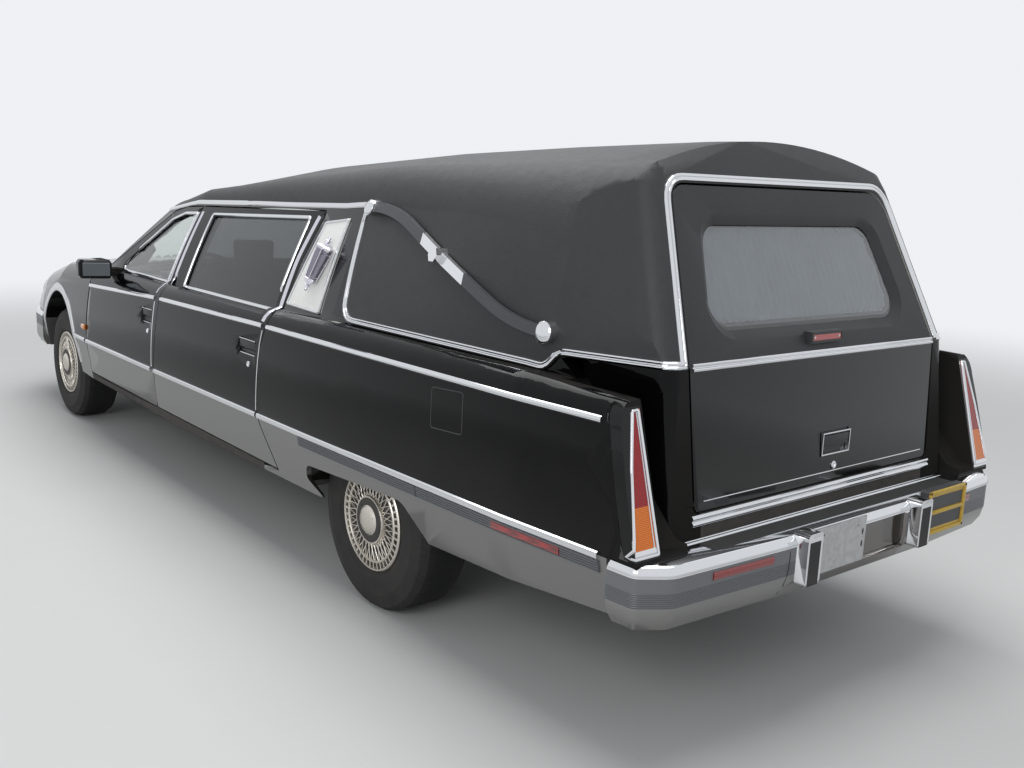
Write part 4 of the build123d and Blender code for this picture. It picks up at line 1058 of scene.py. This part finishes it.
# A ribbed step and a bright strip on top of the rear bumper, a seam, and strips under the rear door.
STEP_PITCH = 0.05
for name, finish, x, reach, profile in (
        ("rear_step_pad", black_rubber, -1.425, 13, ribbed(0.062, 0.0022, 7)),
        ("rear_step_strip", chrome, -1.373, 14, double_bead(0.026, 0.004))):
    starts = [at(x, k * STEP_PITCH, 0.9) for k in range(-reach, reach + 1)]
    strip(name, "body", finish, laid(rear_bumper_skin, starts, (0, 0, -1)), profile, both=False)
strip("rear_bumper_seam", "body", black_rubber,
      on_rear(rear_bumper_skin, [(0.374, 0.650), (0.374, 0.560, 0.05), (0.392, 0.462)]),
      bead(0.0035, 0.0010))
foot_skin = skin("floor_and_cowl", "quarter_panel_left", "quarter_panel_right")
strip("rear_sill_strip", "body", chrome,
      on_rear(foot_skin, [(0.640, 0.690), (-0.640, 0.690)]), double_bead(0.034, 0.007), both=False)
strip("rear_door_low_strip", "rear_door", chrome,
      on_rear(rear_door_skin, [(0.590, 0.744), (-0.590, 0.744)]), bead(0.004, 0.0025), both=False)

# Tail lamps: a bright frame with a doubled inner edge and a plain foot.
tail_skin = skin("tail_lamps")
TAIL_FRAME = [(0.855, 0.661, 0.004), (0.946, 0.661, 0.004), (0.915, 0.889, 0.5), (0.884, 1.038, 0.006),
              (0.862, 1.040, 0.006)]
strip("tail_lamp_frame", "body", chrome,
      on_rear(tail_skin, TAIL_FRAME, 0.02, True), bead(0.009, 0.005), closed=True)
strip("tail_lamp_inner_edge", "body", chrome,
      on_rear(tail_skin, [(0.868, 0.672), (0.871, 1.034)], 0.02), bead(0.004, 0.004))
strip("tail_lamp_foot", "body", chrome,
      on_rear(tail_skin, [(0.862, 0.671), (0.942, 0.671)], 0.02), bead(0.020, 0.004))

# Handles and locks: name, rear, front, bottom, top and lock's place of each pocket.
SIDE_HANDLES = (("front_door", 1.978, 2.126, 0.837, 0.917, (2.015, 0.802)),
                ("side_door", 0.778, 0.950, 0.856, 0.928, (0.832, 0.822)))
POCKET_FLOOR = 0.9632
LOCK = [(0, -0.002), (0.013, -0.002), (0.013, 0.003), (0.011, 0.005), (0.005, 0.005), (0.004, 0.003),
        (0, 0.003)]
for door, rear, front, bottom, top, lock in SIDE_HANDLES:
    body, door_skin = PANELS[door]
    joined(f"{door}_handle", body, black_plastic,
           [((rear + 0.008, POCKET_FLOOR, top - 0.044), (front - 0.008, 0.9725, top - 0.012), 0.0035),
            ((rear + 0.012, POCKET_FLOOR, bottom + 0.008), (front - 0.012, 0.9655, top - 0.050), 0.001, 1)],
           both=True)
    joined(f"{door}_handle_brights", body, chrome,
           [((rear + 0.010, POCKET_FLOOR, z - 0.0025), (front - 0.010, 0.9755, z + 0.0025), 0.001, 1)
            for z in (bottom + 0.004, top - 0.0065)],
           [(spot(on_side, door_skin, *lock), LOCK)], both=True)

joined("rear_door_handle", "rear_door", black_plastic,
       [((-1.3455, -0.130, 0.828), (-1.3335, 0.014, 0.866), 0.0035)])
joined("rear_door_handle_brights", "rear_door", chrome,
       [((-1.3485, -0.134, z - 0.0025), (-1.3325, 0.018, z + 0.0025), 0.001, 1) for z in (0.8015, 0.8725)]
       + [((-1.3485, y - 0.0015, 0.8015), (-1.3325, y + 0.0015, 0.8725), 0.001, 1)
          for y in (-0.1325, 0.0165)],
       [(spot(on_rear, rear_door_skin, -0.054, 0.762), LOCK)])

# Bright guards on the closing edges of the doors.
EDGE = bead(0.0045, 0.003)
side_strip("front_door_edge_guard", "front_door", chrome, [(1.9605, 0.958), (1.9605, 0.628)], EDGE)
side_strip("side_door_edge_guard", "side_door", chrome,
           [(0.7395, 0.978), (0.7485, 0.900, 0.3), (0.7485, 0.640)], EDGE)

# Lips of the front wheel arches.
ARCH_CENTRE, ARCH_RADIUS, ARCH_STEPS = (3.735, 0.352), 0.494, 40
ARCH_START, ARCH_TURN = radians(6), radians(170) - radians(6)
ARCH_LIP = [(-0.024, -0.002), (-0.024, 0.004), (-0.019, 0.007), (0.016, 0.005), (0.024, 0.002),
            (0.024, -0.002)]
arch_angles = [ARCH_START + ARCH_TURN * k / ARCH_STEPS for k in range(ARCH_STEPS + 1)]
side_strip("front_arch_lip", "fender", satin,
           [(ARCH_CENTRE[0] + ARCH_RADIUS * cos(angle), ARCH_CENTRE[1] + ARCH_RADIUS * sin(angle))
            for angle in arch_angles], ARCH_LIP)

# Fuel flap seam and headlamp frames.
strip("fuel_flap_seam", "body", black_plastic,
      on_side(quarter_skin, [(-0.497, 0.962, 0.012), (-0.664, 0.972, 0.012), (-0.680, 0.841, 0.012),
                             (-0.512, 0.832, 0.012)], 0.01, True),
      bead(0.0035, 0.0012), closed=True, both=False)
headlamp_skin = skin("headlamps")
strip("headlamp_frame", "body", chrome,
      on_front(headlamp_skin, [(0.362, 0.663, 0.01), (0.760, 0.663, 0.01), (0.760, 0.782, 0.01),
                               (0.362, 0.782, 0.01)], 0.02, True), bead(0.012, 0.005), closed=True)
strip("headlamp_divider", "body", chrome,
      on_front(headlamp_skin, [(0.640, 0.668), (0.640, 0.777)], 0.02), bead(0.006, 0.004))

# Wipers: a blade and a bent arm from each pivot, given as (y, z).
screen_skin = skin("windscreen")
WIPER_PIVOTS = {"left": (0.080, 1.012), "right": (-0.600, 1.012)}
WIPER_REACH = 0.560
BLADE = [(-0.006, -0.001), (-0.007, 0.006), (-0.002, 0.010), (0.002, 0.010), (0.007, 0.006),
         (0.006, -0.001)]
ARM = [(-0.005, 0.009), (-0.004, 0.015), (0.004, 0.015), (0.005, 0.009)]
for side, (y, z) in WIPER_PIVOTS.items():
    middle = (y + WIPER_REACH * 0.55, z + 0.040)
    strip(f"wiper_blade_{side}", "body", black_rubber,
          on_front(screen_skin, [(y + 0.050, z + 0.022), middle, (y + WIPER_REACH, z + 0.042)]),
          BLADE, both=False)
    strip(f"wiper_arm_{side}", "body", black_plastic,
          on_front(screen_skin, [(y, z), (y + 0.06, z + 0.006), middle]), ARM, both=False)

# Door mirrors' glasses.
bm = bmesh.new()
brick(bm, (-0.070, -0.0020, -0.036), (0.070, 0.0020, 0.036), 0.0015, 1)
face = Vector((0.050, 0.168, 0)).normalized()
turn = Matrix((face, Vector((-face.y, face.x, 0)), Vector((0, 0, 1)))).transposed().to_4x4()
bmesh.ops.transform(bm, matrix=Matrix.Translation(at(2.6150, 1.044, 1.061)) @ turn, verts=bm.verts)
tidy(bm)
pair(bm, "mirror_glass", "front_door_{side}", mirror_glass)

# Inner walls of the front wheel housings, with upright ribs.
joined("wheel_housing_wall", "body", frame_coat,
       [((3.210, 0.449, 0.415), (4.560, 0.455, 0.770), 0.002)]
       + [((x - 0.012, 0.453, 0.440), (x + 0.012, 0.461, 0.750), 0.003) for x in (3.40, 3.75, 4.10, 4.40)],
       both=True)

# Inside: an instrument hood and vents on the dashboard, and armrests on the doors.
VENT_LOW, VENT_HIGH, VENT_PITCH = 0.882, 0.887, 0.012
joined("instrument_hood", "body", dash_plastic,
       [((2.862, 0.195, 0.955), (2.990, 0.565, 1.012), 0.018, 3),
        ((2.856, 0.225, 0.905), (2.880, 0.535, 0.962), 0.006)])
joined("air_vents", "body", black_plastic,
       [((2.790, y - 0.045, VENT_LOW + row * VENT_PITCH), (2.802, y + 0.045, VENT_HIGH + row * VENT_PITCH),
         0.001, 1) for y in (-0.62, -0.10, 0.10, 0.66) for row in range(4)])
for door, rear, front in (("front_door", 2.080, 2.660), ("side_door", 0.900, 1.620)):
    joined(f"{door}_armrest", f"{door}_{{side}}", dash_plastic,
           [((rear, 0.805, 0.770), (front, 0.885, 0.822), 0.014, 3),
            ((front - 0.180, 0.836, 0.700), (front - 0.020, 0.885, 0.776), 0.010, 3)], both=True)

# Plate holder on the right: raised bars round the two blank fields.
joined("plate_frame_bars", "body", yellow_paint, [
    ((-1.5375, *low), (-1.5305, *high), 0.002) for low, high in (
        ((-0.590, 0.515), (-0.350, 0.527)), ((-0.590, 0.656), (-0.350, 0.668)),
        ((-0.590, 0.515), (-0.577, 0.668)), ((-0.363, 0.515), (-0.350, 0.668)),
        ((-0.578, 0.585), (-0.362, 0.598)))])

# Rear window: a pleated curtain between the pane and the door's lining.
CURTAIN_LOW, CURTAIN_HIGH = 1.234, 1.519
CURTAIN_HEM, CURTAIN_CORNER = 0.004, 0.066
CURTAIN_GAP, CLOTH_THICKNESS = 0.0145, 0.0006
CURTAIN_ROWS, CURTAIN_COLUMNS = 16, 396
PLEAT, PLEAT_DEPTH = 0.030, 0.0060
PANE_SLOPE = 0.4204


def pane_inside(z):
    """x of the rear pane's inner face."""
    return -1.2338 + (z - 1.25) * PANE_SLOPE


def curtain_edge(z):
    """Half the opening's width at a height, with its rounded corners."""
    half = 0.496 - (z - 1.229) * 0.2305
    near = min(z - CURTAIN_LOW, CURTAIN_HIGH - z)
    if near < CURTAIN_CORNER:
        half -= CURTAIN_CORNER - (CURTAIN_CORNER ** 2 - (CURTAIN_CORNER - near) ** 2) ** 0.5
    return half


bm = bmesh.new()
curtain_drop = CURTAIN_HIGH - CURTAIN_LOW - 2 * CURTAIN_HEM
for r in range(CURTAIN_ROWS + 1):
    z = CURTAIN_LOW + CURTAIN_HEM + curtain_drop * r / CURTAIN_ROWS
    for c in range(CURTAIN_COLUMNS + 1):
        y = curtain_edge(z) * (2 * c / CURTAIN_COLUMNS - 1)
        sway = sin(2 * pi * y / PLEAT + 0.5 * sin(y * 9.0)) * PLEAT_DEPTH
        bm.verts.new(at(pane_inside(z) + CURTAIN_GAP + sway, y, z))
bm.verts.ensure_lookup_table()
for r in range(CURTAIN_ROWS):
    for c in range(CURTAIN_COLUMNS):
        low = r * (CURTAIN_COLUMNS + 1) + c
        high = low + CURTAIN_COLUMNS + 1
        bm.faces.new((bm.verts[low], bm.verts[low + 1], bm.verts[high + 1], bm.verts[high]))
cloth_area = sum(face.calc_area() for face in bm.faces)
bmesh.ops.solidify(bm, geom=bm.faces[:], thickness=CLOTH_THICKNESS)
bmesh.ops.recalc_face_normals(bm, faces=bm.faces)
rear_curtain = settle(bm, "rear_curtain", "rear_door", curtain_cloth, 60)

# Front seat: cushions with sewn channels on a low plinth.
CHANNEL_WIDTH, CHANNEL_DEPTH = 0.006, 0.008
SIDE_PULL, END_PULL = 0.035, 0.030
SEAM_LEVEL, SEAM_WIDTH, SEAM_DEPTH = 0.35, 0.08, 0.012


def bell(distance, width):
    """1 at no distance, and next to nothing past two widths."""
    return 2.718 ** -((distance / width) ** 2)


def cushion(name, centre, half, lean, channels, crown, edge, cuts=34):
    """A crowned pad whose sides pull in, with channels sewn along its first direction."""
    bm = bmesh.new()
    bmesh.ops.create_cube(bm, size=2.0)
    bmesh.ops.subdivide_edges(bm, edges=bm.edges[:], cuts=cuts, use_grid_fill=True)
    half = Vector(half)
    for vert in bm.verts:
        x, y, z = vert.co
        out = Vector((x ** 9, y ** 9, z ** 9)).normalized() * edge
        place = Vector((x * (half.x - edge), y * (half.y - edge), z * (half.z - edge))) + out
        rise = (1 - x * x) * (1 - y * y)
        place.y *= 1 - SIDE_PULL * (1 - x * x) * abs(y) ** 3
        place.x *= 1 - END_PULL * (1 - y * y) * abs(x) ** 3
        if z > 0.2:
            place.z += crown * rise
            groove = sum(bell(place.y - line, CHANNEL_WIDTH) for line in channels)
            place.z -= min(groove, 1.0) * CHANNEL_DEPTH * (1 - x ** 8)
        seam = bell(z - SEAM_LEVEL, SEAM_WIDTH) * max(abs(x), abs(y)) ** 10
        place.x *= 1 - SEAM_DEPTH * seam
        place.y *= 1 - SEAM_DEPTH * seam
        vert.co = place
    turn = Matrix.Translation(at(*centre)) @ Matrix.Rotation(lean, 4, "Y")
    bmesh.ops.transform(bm, matrix=turn, verts=bm.verts)
    bmesh.ops.recalc_face_normals(bm, faces=bm.faces)
    piece = settle(bm, name, "body", leather, 60)


CHANNELS = [-0.15, -0.075, 0.0, 0.075, 0.15]
BACK_LEAN = pi / 2 - 0.309
for side, sign in (("left", 1), ("right", -1)):
    cushion(f"seat_cushion_{side}", (2.325, sign * 0.415, 0.603), (0.250, 0.262, 0.070), -0.075,
            CHANNELS, 0.014, 0.034)
    cushion(f"seat_back_{side}", (2.046, sign * 0.415, 0.890), (0.245, 0.258, 0.058), BACK_LEAN,
            CHANNELS, 0.012, 0.034)
    cushion(f"head_rest_{side}", (1.981, sign * 0.415, 1.185), (0.082, 0.112, 0.032), BACK_LEAN + 0.25,
            [], 0.006, 0.024, 20)
cushion("seat_cushion_middle", (2.320, 0, 0.593), (0.218, 0.148, 0.062), -0.05, [0.0], 0.012, 0.030, 24)
cushion("seat_back_middle", (2.050, 0, 0.822), (0.185, 0.146, 0.050), BACK_LEAN, [0.0], 0.010, 0.030, 24)
bm = bmesh.new()
brick(bm, at(2.120, -0.560, 0.421), at(2.500, 0.560, 0.540), 0.012)
for y in (-0.455, -0.375, 0.375, 0.455):
    lathe(bm, [(0, 0), (0.006, 0), (0.006, 0.070), (0, 0.070)], at(1.980, y, 1.085), Vector((0, 0, 1)), 12)
tidy(bm)
seat_base = settle(bm, "seat_plinth", "body", black_plastic)
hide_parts("front_seat")

# The stage: pale floor and backdrop, soft lamps and the camera.
PALE, PALE_SHADE = (0.60, 0.605, 0.60), (0.52, 0.525, 0.52)
BACKDROP = (0.86, 0.88, 0.90)
FLOOR_RADIUS, FADE_START, FADE_END = 70.0, 3.6, 11.0
WORLD_COLOUR, WORLD_STRENGTH = (0.78, 0.80, 0.83), 0.55


def stage_finish():
    """Pale floor that turns into the backdrop far away."""
    finish = Finish("studio_floor", {"Specular IOR Level": 0.2})
    grain = finish.noise(3.0, 4.0)
    finish.show(base_color=finish.mix(grain * 0.25, PALE, PALE_SHADE), roughness=0.75)
    reach = (finish.x * finish.x + finish.y * finish.y).maths("SQRT")
    far = finish.add("ShaderNodeEmission", None, {"Color": BACKDROP, "Strength": 1.0})
    both = finish.add("ShaderNodeMixShader", None, {0: finish.fade(reach, FADE_START, FADE_END)})
    finish.tree.links.new(finish.shader.outputs[0], both.socket.node.inputs[1])
    finish.tree.links.new(far.socket, both.socket.node.inputs[2])
    finish.tree.links.new(both.socket, finish.tree.nodes["Material Output"].inputs["Surface"])
    return finish


bm = bmesh.new()
bmesh.ops.create_circle(bm, cap_ends=True, segments=96, radius=FLOOR_RADIUS)
floor_mesh = bpy.data.meshes.new("studio_floor")
bm.to_mesh(floor_mesh)
bm.free()
take(stage_finish(), floor_mesh)
studio_floor = bpy.data.objects.new("studio_floor", floor_mesh)
bpy.context.scene.collection.objects.link(studio_floor)

world = bpy.data.worlds.new("studio")
bpy.context.scene.world = world
world.use_nodes = True
tree = world.node_tree
background = tree.nodes["Background"]
background.inputs["Color"].default_value = (*WORLD_COLOUR, 1)
background.inputs["Strength"].default_value = WORLD_STRENGTH
seen = tree.nodes.new("ShaderNodeBackground")
seen.inputs["Color"].default_value = (*BACKDROP, 1)
seen.inputs["Strength"].default_value = 1.0
path = tree.nodes.new("ShaderNodeLightPath")
looking = path.outputs["Is Camera Ray"]
for ray in ("Is Glossy Ray", "Is Transmission Ray"):
    most = tree.nodes.new("ShaderNodeMath")
    most.operation = "MAXIMUM"
    tree.links.new(looking, most.inputs[0])
    tree.links.new(path.outputs[ray], most.inputs[1])
    looking = most.outputs[0]
choose = tree.nodes.new("ShaderNodeMixShader")
for socket, source in zip(choose.inputs, (looking, background.outputs[0], seen.outputs[0])):
    tree.links.new(source, socket)
tree.links.new(choose.outputs[0], tree.nodes["World Output"].inputs["Surface"])


def soft_lamp(name, place, aim, size, power):
    lamp = bpy.data.lights.new(name, "AREA")
    lamp.shape = "RECTANGLE"
    lamp.size, lamp.size_y = size
    lamp.energy = power
    holder = bpy.data.objects.new(name, lamp)
    bpy.context.scene.collection.objects.link(holder)
    holder.location = place
    holder.rotation_euler = (Vector(aim) - Vector(place)).to_track_quat("-Z", "Y").to_euler()


soft_lamp("overhead_lamp", (0, 0, 6.5), (0, 0, 0), (9.0, 5.0), 420)
soft_lamp("side_lamp", (-5.5, 6.5, 4.0), (0, 0, 0.8), (4.0, 3.0), 170)

CAMERA_PLACE = (-4.86108, 2.8479, 1.62642)
CAMERA_YAW, CAMERA_PITCH, CAMERA_ROLL = -0.68804, 0.19337, -0.04303
PHOTO_WIDTH, FOCAL_PIXELS = 1024, 1030.464
ahead = Vector((cos(CAMERA_PITCH) * cos(CAMERA_YAW), cos(CAMERA_PITCH) * sin(CAMERA_YAW),
                -sin(CAMERA_PITCH)))
level = Vector((sin(CAMERA_YAW), -cos(CAMERA_YAW), 0))
down = ahead.cross(level)
across = level * cos(CAMERA_ROLL) + down * sin(CAMERA_ROLL)
upward = level * sin(CAMERA_ROLL) - down * cos(CAMERA_ROLL)
lens = bpy.data.cameras.new("photo_camera")
lens.sensor_width = 36.0
lens.lens = FOCAL_PIXELS / PHOTO_WIDTH * lens.sensor_width
lens.clip_end = 300
camera = bpy.data.objects.new("photo_camera", lens)
bpy.context.scene.collection.objects.link(camera)
camera.matrix_world = Matrix.Translation(CAMERA_PLACE) @ Matrix(
    (across, upward, -ahead)).transposed().to_4x4()
bpy.context.scene.camera = camera
bpy.context.scene.view_settings.view_transform = "Standard"
